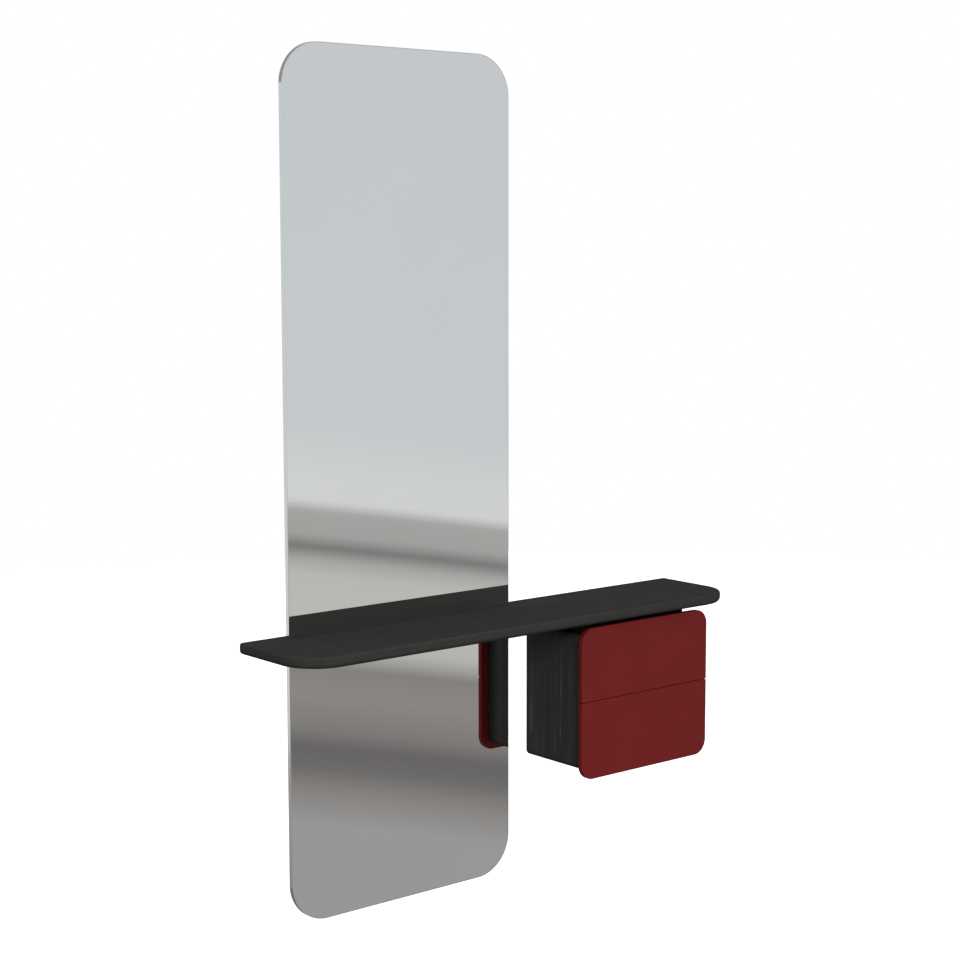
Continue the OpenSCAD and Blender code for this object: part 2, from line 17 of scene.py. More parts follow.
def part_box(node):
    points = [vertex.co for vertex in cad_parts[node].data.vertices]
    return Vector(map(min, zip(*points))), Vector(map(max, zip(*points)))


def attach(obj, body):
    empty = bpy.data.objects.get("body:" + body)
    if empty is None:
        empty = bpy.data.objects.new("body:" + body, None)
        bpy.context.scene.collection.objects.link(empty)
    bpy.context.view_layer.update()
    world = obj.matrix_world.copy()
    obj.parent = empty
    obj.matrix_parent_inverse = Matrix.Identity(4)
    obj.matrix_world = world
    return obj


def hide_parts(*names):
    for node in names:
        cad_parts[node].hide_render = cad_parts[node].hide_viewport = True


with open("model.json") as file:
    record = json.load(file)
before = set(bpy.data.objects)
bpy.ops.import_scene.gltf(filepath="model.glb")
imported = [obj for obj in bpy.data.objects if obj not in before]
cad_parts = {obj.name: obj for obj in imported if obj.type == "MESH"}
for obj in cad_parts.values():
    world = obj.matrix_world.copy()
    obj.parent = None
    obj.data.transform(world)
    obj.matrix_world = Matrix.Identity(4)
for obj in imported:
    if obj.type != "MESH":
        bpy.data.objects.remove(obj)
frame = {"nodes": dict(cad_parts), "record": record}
CAD = frame["nodes"]
RECORD = frame["record"]
SLOT = {s["node"]: s["material_slot"] for s in RECORD["subparts"]}
BODY = {n: b for b, ns in RECORD["behaviour"]["bodies"].items() for n in ns}
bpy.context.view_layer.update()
scene = bpy.context.scene
collection = scene.collection


# ---------------------------------------------------------------- camera
def make_camera():
    data = bpy.data.cameras.new("camera")
    data.sensor_fit = "HORIZONTAL"
    data.sensor_width = 36.0
    data.lens = 74.58
    data.shift_x = -0.0310
    data.shift_y = 0.0050
    data.clip_start = 0.01
    data.clip_end = 60.0
    cam = bpy.data.objects.new("camera", data)
    collection.objects.link(cam)
    cam.location = (-2.5858, -3.4354, -0.1474)
    cam.rotation_euler = (math.pi / 2 - 0.1236, 0.0, -0.7036)
    scene.camera = cam


make_camera()


# ---------------------------------------------------------------- node helpers
def srgb(r, g, b, k=1.0):
    """Linear colour of an 8-bit display colour, times k."""
    out = []
    for v in (r, g, b):
        v = v / 255.0
        out.append((v / 12.92 if v <= 0.04045 else ((v + 0.055) / 1.055) ** 2.4) * k)
    return (*out, 1.0)


def lin(r, g, b):
    return (r, g, b, 1.0)


def shade(c, k):
    return (c[0] * k, c[1] * k, c[2] * k, 1.0)


class Tree:
    """A node tree with short calls: names of inputs are given with _ for a space."""

    def __init__(self, tree):
        self.tree = tree

    def add(self, kind, props=None, **ins):
        n = self.tree.nodes.new("ShaderNode" + kind)
        for k, v in (props or {}).items():
            setattr(n, k, v)
        for k, v in ins.items():
            key = int(k[1:]) if k[0] == "i" and k[1:].isdigit() else k.replace("_", " ")
            self.put(n.inputs[key], v)
        return n

    def put(self, socket, value):
        if isinstance(value, bpy.types.NodeSocket):
            self.tree.links.new(value, socket)
        else:
            socket.default_value = value

    def math(self, op, a, b=0.0, c=None, clamp=False):
        n = self.add("Math", {"operation": op, "use_clamp": clamp}, i0=a, i1=b)
        if c is not None:
            self.put(n.inputs[2], c)
        return n.outputs[0]

    def remap(self, v, a, b, c=0.0, d=1.0):
        return self.add("MapRange", {"clamp": True}, Value=v, From_Min=a, From_Max=b, To_Min=c, To_Max=d).outputs[0]

    def smooth(self, v, a, b, c=0.0, d=1.0):
        n = self.add("MapRange", {"clamp": True, "interpolation_type": "SMOOTHSTEP"}, Value=v, From_Min=a, From_Max=b, To_Min=c, To_Max=d)
        return n.outputs[0]

    def mix(self, f, a, b, mode="MIX"):
        n = self.add("Mix", {"data_type": "RGBA", "blend_type": mode, "clamp_factor": True}, i0=f, i6=a, i7=b)
        return n.outputs[2]

    def scaled(self, co, sx, sy, sz, off=(0.0, 0.0, 0.0)):
        return self.add("Mapping", Vector=co, Scale=(sx, sy, sz), Location=off).outputs[0]

    def noise(self, co, scale=1.0, detail=3.0, rough=0.5, distortion=0.0):
        return self.add("TexNoise", {"noise_dimensions": "3D"}, Vector=co, Scale=scale, Detail=detail, Roughness=rough, Distortion=distortion).outputs[0]

    def bump(self, height, strength, distance, normal=None):
        n = self.add("Bump", Height=height, Strength=strength, Distance=distance)
        if normal is not None:
            self.put(n.inputs["Normal"], normal)
        return n.outputs[0]


class Mat(Tree):
    def __init__(self, name):
        self.mat = bpy.data.materials.new(name)
        self.mat.use_nodes = True
        super().__init__(self.mat.node_tree)
        self.tree.nodes.clear()
        self.out = self.add("OutputMaterial")
        self.bsdf = self.add("BsdfPrincipled")
        self.tree.links.new(self.bsdf.outputs[0], self.out.inputs[0])
        self.co = self.add("TexCoord").outputs["Object"]

    def set(self, **ins):
        for k, v in ins.items():
            self.put(self.bsdf.inputs[k.replace("_", " ")], v)
        return self

    def facing(self, axis, edge=0.6):
        """1 on faces that look along this axis, 0 elsewhere."""
        nrm = self.add("TexCoord").outputs["Normal"]
        comp = self.add("SeparateXYZ", Vector=nrm).outputs["XYZ".index(axis)]
        return self.smooth(self.math("ABSOLUTE", comp), edge, edge + 0.15)


# ---------------------------------------------------------------- materials
def along(axis, a, b):
    """Scale vector: a along the axis, b across it."""
    v = [b, b, b]
    v["XYZ".index(axis)] = a
    return v


def stained_wood(name, grain, dark, mid, light, rough=(0.42, 0.56), sheen=0.05, seed=0.0, streak=0.5, bump=0.25, spread=1.0, marks=()):
    """Dark stained, open-pored veneer with its figure running along one axis. marks are single stripes of an upright veneer:
    (depth y, half width, lower z, upper z, tone, strength), in metres."""
    m = Mat(name)
    off = (seed, seed * 0.7, seed * 1.3)
    warp = m.noise(m.scaled(m.co, *along(grain, 1.3, 6.0), off), 1.0, 2.0)
    shift = m.math("MULTIPLY", m.math("SUBTRACT", warp, 0.5), 0.02)
    co = m.add("VectorMath", {"operation": "ADD"}, i0=m.co, i1=m.add("CombineXYZ", X=shift, Y=shift, Z=shift).outputs[0]).outputs[0]
    bands = m.noise(m.scaled(co, *along(grain, 1.1, 62.0), off), 1.0, 3.0, 0.55)
    fine = m.noise(m.scaled(co, *along(grain, 5.0, 330.0), off), 1.0, 3.0, 0.6)
    rare = m.noise(m.scaled(co, *along(grain, 4.2, 120.0), off), 1.0, 2.0, 0.5)
    pores = m.noise(m.scaled(co, *along(grain, 55.0, 2100.0), off), 1.0, 2.0, 0.6)
    tone = m.math("ADD", m.math("MULTIPLY", bands, 0.6), m.math("MULTIPLY", fine, 0.4))
    col = m.mix(m.smooth(tone, 0.5 - 0.14 / spread, 0.5 + 0.14 / spread), dark, mid)
    col = m.mix(m.math("MULTIPLY", m.smooth(rare, 0.62, 0.74), streak), col, light)
    if marks:
        _, my, mz = m.add("SeparateXYZ", Vector=co).outputs[:3]
        frayed = m.math("ADD", mz, m.math("MULTIPLY", m.math("SUBTRACT", fine, 0.5), 0.09))
    for y0, half, z0, z1, tint, strength in marks:
        f = m.smooth(m.math("ABSOLUTE", m.math("SUBTRACT", my, y0)), 0.25 * half, half, 1.0, 0.0)
        f = m.math("MULTIPLY", f, m.smooth(frayed, z0 - 0.012, z0 + 0.012))
        f = m.math("MULTIPLY", f, m.smooth(frayed, z1 - 0.012, z1 + 0.012, 1.0, 0.0))
        f = m.math("MULTIPLY", f, m.remap(fine, 0.3, 0.65, 0.45, 1.0))
        col = m.mix(m.math("MULTIPLY", f, strength), col, lin(*tint))
    pore = m.smooth(pores, 0.56, 0.68)
    col = m.mix(m.math("MULTIPLY", pore, 0.55), col, shade(dark, 0.45))
    height = m.math("SUBTRACT", m.math("MULTIPLY", fine, 0.5), pore)
    # an oiled matt surface: a faint broad gloss and no more
    m.set(
        Base_Color=col,
        Roughness=m.remap(fine, 0.3, 0.7, rough[0], rough[1]),
        Specular_IOR_Level=0.0,
        Coat_Weight=sheen,
        Coat_Roughness=m.remap(fine, 0.3, 0.7, rough[0] - 0.06, rough[1] - 0.04),
        Normal=m.bump(height, bump, 0.0003),
    )
    return m.mat


def lacquer(name, base, rough=0.42):
    m = Mat(name)
    cloud = m.noise(m.co, 9.0, 2.0)
    peel = m.noise(m.co, 420.0, 2.0, 0.5)
    speck = m.noise(m.co, 2600.0, 1.0)
    col = m.mix(m.smooth(cloud, 0.3, 0.7), shade(base, 0.96), shade(base, 1.04))
    # painted shade: faces that look sideways, up or down (the edges of the fronts) are painted darker than the faces,
    # standing in for the shade they get
    col = m.mix(m.facing("Y", 0.3), shade(base, 0.8), col)
    m.set(
        Base_Color=col,
        Roughness=m.remap(m.math("ADD", m.math("MULTIPLY", cloud, 0.6), m.math("MULTIPLY", speck, 0.4)), 0.3, 0.7, rough - 0.03, rough + 0.05),
        Specular_IOR_Level=0.05,
        Coat_Weight=0.05,
        Coat_Roughness=0.2,
        Normal=m.bump(peel, 0.10, 0.0004),
    )
    return m.mat


def birch(name, grain, thick=None, base=(0.62, 0.475, 0.315), seed=0.0):
    """Clear-lacquered birch plywood: pale flowing figure on the faces, thin plies on the edges."""
    m = Mat(name)
    off = (seed, seed, seed)
    warp = m.noise(m.scaled(m.co, *along(grain, 4.0, 12.0), off), 1.0, 3.0)
    shift = m.math("MULTIPLY", m.math("SUBTRACT", warp, 0.5), 0.03)
    co = m.add("VectorMath", {"operation": "ADD"}, i0=m.co, i1=m.add("CombineXYZ", X=shift, Y=shift, Z=shift).outputs[0]).outputs[0]
    bands = m.noise(m.scaled(co, *along(grain, 5.0, 95.0), off), 1.0, 4.0, 0.55)
    fine = m.noise(m.scaled(co, *along(grain, 30.0, 900.0), off), 1.0, 2.0, 0.6)
    b = lin(*base)
    col = m.mix(m.smooth(bands, 0.32, 0.68), shade(b, 0.84), shade(b, 1.08))
    col = m.mix(m.math("MULTIPLY", m.smooth(fine, 0.55, 0.72), 0.35), col, shade(b, 0.66))
    height = fine
    if thick:
        i = "XYZ".index(thick)
        comp = m.add("SeparateXYZ", Vector=m.co).outputs[i]
        wob = m.math("MULTIPLY", m.noise(m.scaled(m.co, 40.0, 40.0, 40.0), 1.0, 2.0), 0.0003)
        ply = m.math("SINE", m.math("MULTIPLY", m.math("ADD", comp, wob), 2 * math.pi / 0.0026))
        ply = m.smooth(ply, -0.5, 0.5)
        edge_col = m.mix(ply, lin(0.36, 0.235, 0.135), lin(0.66, 0.52, 0.36))
        face = m.facing(thick)
        col = m.mix(face, edge_col, col)
    m.set(Base_Color=col, Roughness=m.remap(bands, 0.3, 0.7, 0.38, 0.5), Specular_IOR_Level=0.4, Normal=m.bump(height, 0.15, 0.0002))
    return m.mat


def metal(name, base, rough=0.3, grain=None, vary=0.06, bump=0.12, fine=1800.0, cloud=60.0, coarse=1.0):
    """Metal whose fine lines run along one axis (drawn, brushed, extruded) or nowhere (plated, tumbled)."""
    m = Mat(name)
    sc = along(grain, 14.0, fine) if grain else (fine * 0.6,) * 3
    lines = m.noise(m.scaled(m.co, *sc), 1.0, 2.0, 0.6)
    clouds = m.noise(m.co, cloud, 3.0, 0.55)
    b = lin(*base)
    col = m.mix(m.smooth(clouds, 0.3, 0.7), shade(b, 1 - vary), shade(b, 1 + vary))
    col = m.mix(m.math("MULTIPLY", m.smooth(lines, 0.45, 0.7), 0.25 * coarse), col, shade(b, 0.8))
    m.set(
        Base_Color=col,
        Metallic=1.0,
        Roughness=m.remap(m.math("ADD", m.math("MULTIPLY", lines, 0.6), m.math("MULTIPLY", clouds, 0.4)), 0.3, 0.7, rough * 0.8, rough * 1.25),
        Normal=m.bump(lines, bump, 0.00012),
    )
    return m.mat


def painted(name, base, rough=0.5, peel=500.0, bump=0.2, spec=0.4, spread=0.08):
    m = Mat(name)
    b = lin(*base)
    n1 = m.noise(m.co, peel, 2.0, 0.55)
    n2 = m.noise(m.co, 24.0, 3.0)
    m.set(
        Base_Color=m.mix(m.smooth(n2, 0.3, 0.7), shade(b, 1 - spread), shade(b, 1 + spread)),
        Roughness=m.remap(n1, 0.3, 0.7, rough * 0.88, rough * 1.12),
        Specular_IOR_Level=spec,
        Normal=m.bump(n1, bump, 0.00025),
    )
    return m.mat


def fibreboard(name, base):
    m = Mat(name)
    b = lin(*base)
    fib = m.noise(m.co, 1500.0, 4.0, 0.65)
    cl = m.noise(m.co, 30.0, 3.0)
    col = m.mix(m.smooth(cl, 0.3, 0.7), shade(b, 0.9), shade(b, 1.08))
    col = m.mix(m.math("MULTIPLY", m.smooth(fib, 0.5, 0.75), 0.5), col, shade(b, 0.62))
    m.set(Base_Color=col, Roughness=0.82, Specular_IOR_Level=0.2, Normal=m.bump(fib, 0.35, 0.0002))
    return m.mat


def mirror_silver(name):
    m = Mat(name)
    haze = m.noise(m.co, 3.0, 2.0)
    m.set(
        Base_Color=m.mix(m.smooth(haze, 0.3, 0.7), lin(0.862, 0.872, 0.872), lin(0.87, 0.88, 0.878)),
        Metallic=1.0,
        Roughness=m.remap(haze, 0.3, 0.7, 0.002, 0.006),
    )
    return m.mat


def glass_edge(name):
    m = Mat(name)
    n = m.noise(m.scaled(m.co, 260.0, 90.0, 260.0), 1.0, 2.0)
    m.set(
        Base_Color=m.mix(n, lin(0.36, 0.50, 0.45), lin(0.46, 0.60, 0.55)),
        Roughness=m.remap(n, 0.3, 0.7, 0.06, 0.14),
        Specular_IOR_Level=0.6,
        Transmission_Weight=0.25,
        IOR=1.52,
    )
    return m.mat


def clear_rubber(name):
    m = Mat(name)
    n = m.noise(m.co, 800.0, 2.0)
    m.set(
        Base_Color=lin(0.86, 0.87, 0.85),
        Roughness=m.remap(n, 0.3, 0.7, 0.18, 0.3),
        Transmission_Weight=0.75,
        IOR=1.48,
        Normal=m.bump(n, 0.05, 0.0001),
    )
    return m.mat


SHELF_D, SHELF_M, SHELF_L = lin(0.0360, 0.0348, 0.0326), lin(0.0428, 0.0414, 0.0388), lin(0.053, 0.051, 0.047)
CAB_D, CAB_M, CAB_L = lin(0.0335, 0.0324, 0.0313), lin(0.0455, 0.0440, 0.0423), lin(0.100, 0.094, 0.084)
RED = lin(0.167, 0.0156, 0.0149)

M = {}
M["mirror_silver"] = mirror_silver("mirror_silver")
M["glass_edge"] = glass_edge("glass_edge")
M["mirror_backing_paint"] = painted("mirror_backing_paint", (0.16, 0.17, 0.17), 0.6, 300.0)
M["backing_board"] = fibreboard("backing_board", (0.33, 0.235, 0.15))
M["edge_trim"] = metal("edge_trim", (0.88, 0.885, 0.89), 0.09, "Z", 0.02, 0.03, 900.0)
M["rail_aluminium"] = metal("rail_aluminium", (0.72, 0.725, 0.73), 0.33, "X", 0.04, 0.2, 1500.0)
M["zinc_screws"] = metal("zinc_screws", (0.68, 0.66, 0.58), 0.3, None, 0.1, 0.1, 2600.0, 400.0)
M["pad_rubber"] = painted("pad_rubber", (0.022, 0.022, 0.023), 0.78, 900.0, 0.5, 0.25)
M["shelf_wood"] = stained_wood("shelf_wood", "X", SHELF_D, SHELF_M, SHELF_L, sheen=0.06, seed=3.1, streak=0.22, spread=0.7)
M["support_steel"] = painted("support_steel", (0.03, 0.03, 0.032), 0.5, 1400.0, 0.45, 0.5)
M["rod_steel"] = metal("rod_steel", (0.60, 0.60, 0.61), 0.26, "Y", 0.04, 0.15, 1700.0)
M["black_screws"] = metal("black_screws", (0.055, 0.055, 0.06), 0.38, None, 0.15, 0.12, 2600.0, 300.0)
# painted shade: the spacer's near-black colour stands for the deep shade in the gap between the shelf and the cabinet
M["spacer_black"] = stained_wood("spacer_black", "X", lin(0.014, 0.0135, 0.013), lin(0.019, 0.0185, 0.018), lin(0.024, 0.0235, 0.023), (0.6, 0.72), 0.03, 9.0, 0.2)
PALE, DEEP = (0.115, 0.107, 0.094), (0.024, 0.0233, 0.0227)
FIGURE = [
    (-0.121, 0.006, -1.240, -1.059, PALE, 0.22),
    (-0.121, 0.004, -1.182, -1.150, PALE, 0.5),
    (-0.120, 0.004, -1.288, -1.250, PALE, 0.6),
    (-0.022, 0.007, -1.289, -1.215, PALE, 0.42),
    (-0.022, 0.005, -1.205, -1.120, PALE, 0.22),
    (-0.101, 0.004, -1.316, -1.276, PALE, 0.42),
    (-0.152, 0.007, -1.150, -1.090, PALE, 0.14),
    (-0.074, 0.010, -1.343, -1.200, DEEP, 0.5),
    (-0.108, 0.004, -1.343, -1.270, DEEP, 0.5),
    (-0.045, 0.012, -1.285, -1.190, DEEP, 0.3),
    (-0.040, 0.022, -1.110, -1.040, DEEP, 0.3),
]
M["cabinet_wood"] = stained_wood("cabinet_wood", "Z", CAB_D, CAB_M, CAB_L, seed=1.7, streak=0.4, bump=0.35, spread=0.85, marks=FIGURE)
M["cabinet_wood_flat"] = stained_wood("cabinet_wood_flat", "X", CAB_D, CAB_M, CAB_L, seed=5.2, streak=0.6, bump=0.35)
M["cabinet_back_board"] = stained_wood("cabinet_back_board", "Z", lin(0.014, 0.014, 0.014), lin(0.02, 0.02, 0.02), lin(0.027, 0.027, 0.026), (0.42, 0.52), 0.12, 7.7, 0.3, 0.1)
M["dowel_beech"] = birch("dowel_beech", "X", None, (0.60, 0.42, 0.26), 2.0)
M["zinc_plate"] = metal("zinc_plate", (0.62, 0.64, 0.68), 0.36, None, 0.12, 0.08, 900.0, 110.0)
M["buffer_clear"] = clear_rubber("buffer_clear")
M["red_lacquer"] = lacquer("red_lacquer", RED)
M["box_side"] = birch("box_side", "Y", "X", seed=0.4)
M["box_end"] = birch("box_end", "X", "Y", seed=1.9)
M["box_bottom"] = birch("box_bottom", "X", "Z", (0.66, 0.53, 0.38), 4.4)
M["runner_steel"] = metal("runner_steel", (0.66, 0.675, 0.70), 0.25, "Y", 0.05, 0.1, 1300.0, 130.0)
M["cage_steel"] = metal("cage_steel", (0.62, 0.52, 0.30), 0.32, "Y", 0.12, 0.1, 1500.0, 260.0)
M["ball_steel"] = metal("ball_steel", (0.80, 0.80, 0.82), 0.06, None, 0.01, 0.0, 3000.0, 200.0, 0.1)


# ---------------------------------------------------------------- mesh helpers (millimetres)
def bx(name):
    lo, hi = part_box(name)
    return np.array(lo) * 1000.0, np.array(hi) * 1000.0


def islands(name):
    """Lowest and highest corner of each separate solid of a node."""
    me = CAD[name].data
    co = np.empty(len(me.vertices) * 3)
    me.vertices.foreach_get("co", co)
    co = co.reshape(-1, 3) * 1000.0
    _, inv = np.unique(np.round(co, 3), axis=0, return_inverse=True)
    inv = np.ravel(inv)
    parent = list(range(int(inv.max()) + 1))

    def find(i):
        while parent[i] != i:
            parent[i] = parent[parent[i]]
            i = parent[i]
        return i

    for e in me.edges:
        a, b = find(inv[e.vertices[0]]), find(inv[e.vertices[1]])
        if a != b:
            parent[a] = b
    root = np.array([find(i) for i in inv])
    out = [(co[root == r].min(0), co[root == r].max(0)) for r in np.unique(root)]
    return sorted(out, key=lambda b: tuple(np.round(b[0], 2)))


def place(axis, u, v, w):
    """u and v are across the axis, w is along it."""
    return {"X": (w, u, v), "Y": (u, w, v), "Z": (u, v, w)}[axis]


def outline(u0, v0, u1, v1, r, least=3):
    """Closed rounded rectangle as (u, v, normal u, normal v); r is bottom left, bottom right, top right, top left."""
    out = []
    for cu, cv, rr, a0 in (
        (u0 + r[0], v0 + r[0], r[0], 180),
        (u1 - r[1], v0 + r[1], r[1], 270),
        (u1 - r[2], v1 - r[2], r[2], 0),
        (u0 + r[3], v1 - r[3], r[3], 90),
    ):
        n = max(least, math.ceil(2.6 * math.sqrt(rr)))
        for i in range(n + 1):
            a = math.radians(a0 + 90.0 * i / n)
            out.append((cu + rr * math.cos(a), cv + rr * math.sin(a), math.cos(a), math.sin(a)))
    return out


def fillet(points, radii, least=3):
    """Closed polygon whose corners are rounded, as plain (u, v) points."""
    n = len(points)
    if not hasattr(radii, "__len__"):
        radii = [radii] * n
    out = []
    for i in range(n):
        p, a, b = (np.array(points[k % n], float) for k in (i, i - 1, i + 1))
        r = radii[i]
        d1, d2 = a - p, b - p
        l1, l2 = np.linalg.norm(d1), np.linalg.norm(d2)
        d1, d2 = d1 / l1, d2 / l2
        half = math.acos(max(-1.0, min(1.0, float(d1 @ d2)))) / 2
        if r <= 0 or half > 1.55:
            out.append(tuple(p))
            continue
        t = min(r / math.tan(half), 0.49 * l1, 0.49 * l2)
        r = t * math.tan(half)
        c = p + (d1 + d2) / np.linalg.norm(d1 + d2) * (r / math.sin(half))
        s, e = p + d1 * t - c, p + d2 * t - c
        a0, a1 = math.atan2(s[1], s[0]), math.atan2(e[1], e[0])
        while a1 - a0 > math.pi:
            a1 -= 2 * math.pi
        while a1 - a0 < -math.pi:
            a1 += 2 * math.pi
        k = max(least, math.ceil(abs(a1 - a0) / math.radians(24)))
        for j in range(k + 1):
            w = a0 + (a1 - a0) * j / k
            out.append((c[0] + r * math.cos(w), c[1] + r * math.sin(w)))
    return out


def loft(axis, rings, closed=True):
    """Closed solid through rings of (u, v, w) of equal length, capped at both ends."""
    n = len(rings[0])
    verts = [place(axis, *p) for ring in rings for p in ring]
    faces = []
    for k in range(len(rings) - 1):
        for i in range(n):
            j = (i + 1) % n
            faces.append((k * n + i, k * n + j, (k + 1) * n + j, (k + 1) * n + i))
    faces.append(tuple(reversed(range(n))))
    faces.append(tuple((len(rings) - 1) * n + i for i in range(n)))
    return verts, faces


def plate(axis, line, a, b, fa=0.0, fb=0.0, seg=4):
    """Outline with normals, extruded from a to b, with its arrises rounded by fa at a and fb at b."""
    steps = []
    for k in range(seg + 1) if fa > 0 else [seg]:
        t = math.pi / 2 * k / seg
        steps.append((fa * (1 - math.sin(t)), a + fa * (1 - math.cos(t))) if fa > 0 else (0.0, a))
    for k in range(seg, -1, -1) if fb > 0 else [0]:
        t = math.pi / 2 * k / seg
        steps.append((fb * (1 - math.sin(t)), b - fb * (1 - math.cos(t))) if fb > 0 else (0.0, b))
    return loft(axis, [[(u - nu * d, v - nv * d, w) for u, v, nu, nv in line] for d, w in steps])


def extrude(axis, points, a, b):
    """Plain closed polygon, extruded."""
    return loft(axis, [[(u, v, a) for u, v in points], [(u, v, b) for u, v in points]])


def board(name, thick, arris=0.6, corner=None, seg=3):
    """Rectangular board with every arris rounded."""
    lo, hi = bx(name)
    i = "XYZ".index(thick)
    u, v = [k for k in range(3) if k != i]
    # the corner stays a little rounder than the arris, so that the end rings keep their corner points apart
    c = corner or arris + 0.1
    return plate(thick, outline(lo[u], lo[v], hi[u], hi[v], [c] * 4), lo[i], hi[i], arris, arris, seg)


def lathe(axis, centre, sign, rings, n=32):
    """Solid of revolution round an axis through centre. rings are (h, r), h measured along the axis, r a number or a function
    of the angle and h. A ring of radius 0 is a pole."""
    i = "XYZ".index(axis)
    u, v = [k for k in range(3) if k != i]
    verts, faces, rows = [], [], []
    for h, r in rings:
        w = centre[i] + sign * h
        if not callable(r) and r <= 1e-9:
            verts.append(place(axis, centre[u], centre[v], w))
            rows.append([len(verts) - 1])
            continue
        row = []
        for k in range(n):
            t = 2 * math.pi * k / n
            rr = r(t, h) if callable(r) else r
            verts.append(place(axis, centre[u] + rr * math.cos(t), centre[v] + rr * math.sin(t), w))
            row.append(len(verts) - 1)
        rows.append(row)
    for a, b in zip(rows, rows[1:]):
        for k in range(n):
            j = (k + 1) % n
            if len(a) == 1:
                faces.append((a[0], b[k], b[j]))
            elif len(b) == 1:
                faces.append((a[k], a[j], b[0]))
            else:
                faces.append((a[k], a[j], b[j], b[k]))
    if len(rows[0]) > 1:
        faces.append(tuple(reversed(rows[0])))
    if len(rows[-1]) > 1:
        faces.append(tuple(rows[-1]))
    return verts, faces


def join(parts):
    verts, faces = [], []
    for v, f in parts:
        k = len(verts)
        verts += list(v)
        faces += [tuple(i + k for i in face) for face in f]
    return verts, faces


def moved(part, d):
    return [(x + d[0], y + d[1], z + d[2]) for x, y, z in part[0]], part[1]


def to_mesh(part, name="part"):
    me = bpy.data.meshes.new(name)
    me.from_pydata([tuple(float(c) for c in p) for p in part[0]], [], [tuple(f) for f in part[1]])
    bm = bmesh.new()
    bm.from_mesh(me)
    bmesh.ops.recalc_face_normals(bm, faces=bm.faces)
    bm.to_mesh(me)
    bm.free()
    return me


def cut(part, cutters):
    """The part with the cutters taken out of it."""
    if not cutters:
        return part
    a = bpy.data.objects.new("cut_a", to_mesh(part))
    collection.objects.link(a)
    bs = []
    for c in cutters:
        b = bpy.data.objects.new("cut_b", to_mesh(c))
        collection.objects.link(b)
        bs.append(b)
        mod = a.modifiers.new("cut", "BOOLEAN")
        mod.operation = "DIFFERENCE"
        mod.solver = "EXACT"
        mod.object = b
    dg = bpy.context.evaluated_depsgraph_get()
    me = bpy.data.meshes.new_from_object(a.evaluated_get(dg), depsgraph=dg)
    # the cut can leave two points in one place, so these are joined
    bm = bmesh.new()
    bm.from_mesh(me)
    bmesh.ops.remove_doubles(bm, verts=bm.verts, dist=1e-4)
    bm.to_mesh(me)
    bm.free()
    out = [tuple(v.co) for v in me.vertices], [tuple(p.vertices) for p in me.polygons]
    for o in [a, *bs]:
        d = o.data
        bpy.data.objects.remove(o)
        bpy.data.meshes.remove(d)
    bpy.data.meshes.remove(me)
    return out


def pin(axis, centre, r, a, b, n=32):
    """Straight round cutter or pin from a to b along the axis."""
    c = list(centre)
    c["XYZ".index(axis)] = 0.0
    return lathe(axis, c, 1, [(a, r), (b, r)], n)


def block(lo, hi):
    return loft("Z", [[(lo[0], lo[1], z), (hi[0], lo[1], z), (hi[0], hi[1], z), (lo[0], hi[1], z)] for z in (lo[2], hi[2])])


def finish(name, part, nodes, mats, pick=None, angle=35.0, slot=None):
    """Makes the finished piece: metres, smooth shading with sharp edges kept, materials, body, and the nodes it stands for."""
    nodes = [nodes] if isinstance(nodes, str) else list(nodes)
    me = to_mesh(part, name)
    me.transform(Matrix.Scale(0.001, 4))
    for m in mats if isinstance(mats, (list, tuple)) else [mats]:
        me.materials.append(M[m])
    if pick:
        for p in me.polygons:
            p.material_index = pick(p.center * 1000.0, p.normal)
    me.polygons.foreach_set("use_smooth", [True] * len(me.polygons))
    me.set_sharp_from_angle(angle=math.radians(angle))
    o = bpy.data.objects.new(name, me)
    collection.objects.link(o)
    w = o.modifiers.new("weighted_normals", "WEIGHTED_NORMAL")
    w.keep_sharp = True
    w.weight = 50
    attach(o, BODY[nodes[0]])
    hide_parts(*nodes)
    slot or SLOT[nodes[0]]
    return o


# ---------------------------------------------------------------- fasteners
def thread(major, minor, pitch):
    """Radius of a pointed thread at an angle and a height."""

    def r(t, h):
        x = (h / pitch - t / (2 * math.pi)) % 1.0
        return minor + (major - minor) * max(0.0, 1.0 - abs(2 * x - 1) * 1.45)

    return r


def cross_cutter(axis, centre, sign, top, depth, reach, half):
    """Tapered cross-shaped recess; its mouth is at height top."""
    i = "XYZ".index(axis)
    u, v = [k for k in range(3) if k != i]

    def ring(h, k, kw):
        l, w = reach * k, half * kw
        pts = [(w, -l), (w, -w), (l, -w), (l, w), (w, w), (w, l), (-w, l), (-w, w), (-l, w), (-l, -w), (-w, -w), (-w, -l)]
        return [(centre[u] + p, centre[v] + q, centre[i] + sign * h) for p, q in pts]

    return loft(axis, [ring(top - 0.4, 1.06, 1.05), ring(top, 1.0, 1.0), ring(top + depth, 0.45, 0.7)])


def hex_cutter(axis, centre, sign, top, depth, r):
    i = "XYZ".index(axis)
    u, v = [k for k in range(3) if k != i]

    def ring(h, k=1.0):
        return [(centre[u] + r * k * math.cos(a), centre[v] + r * k * math.sin(a), centre[i] + sign * h) for a in (math.pi / 3 * q for q in range(6))]

    return loft(axis, [ring(top - 0.4), ring(top + depth)])


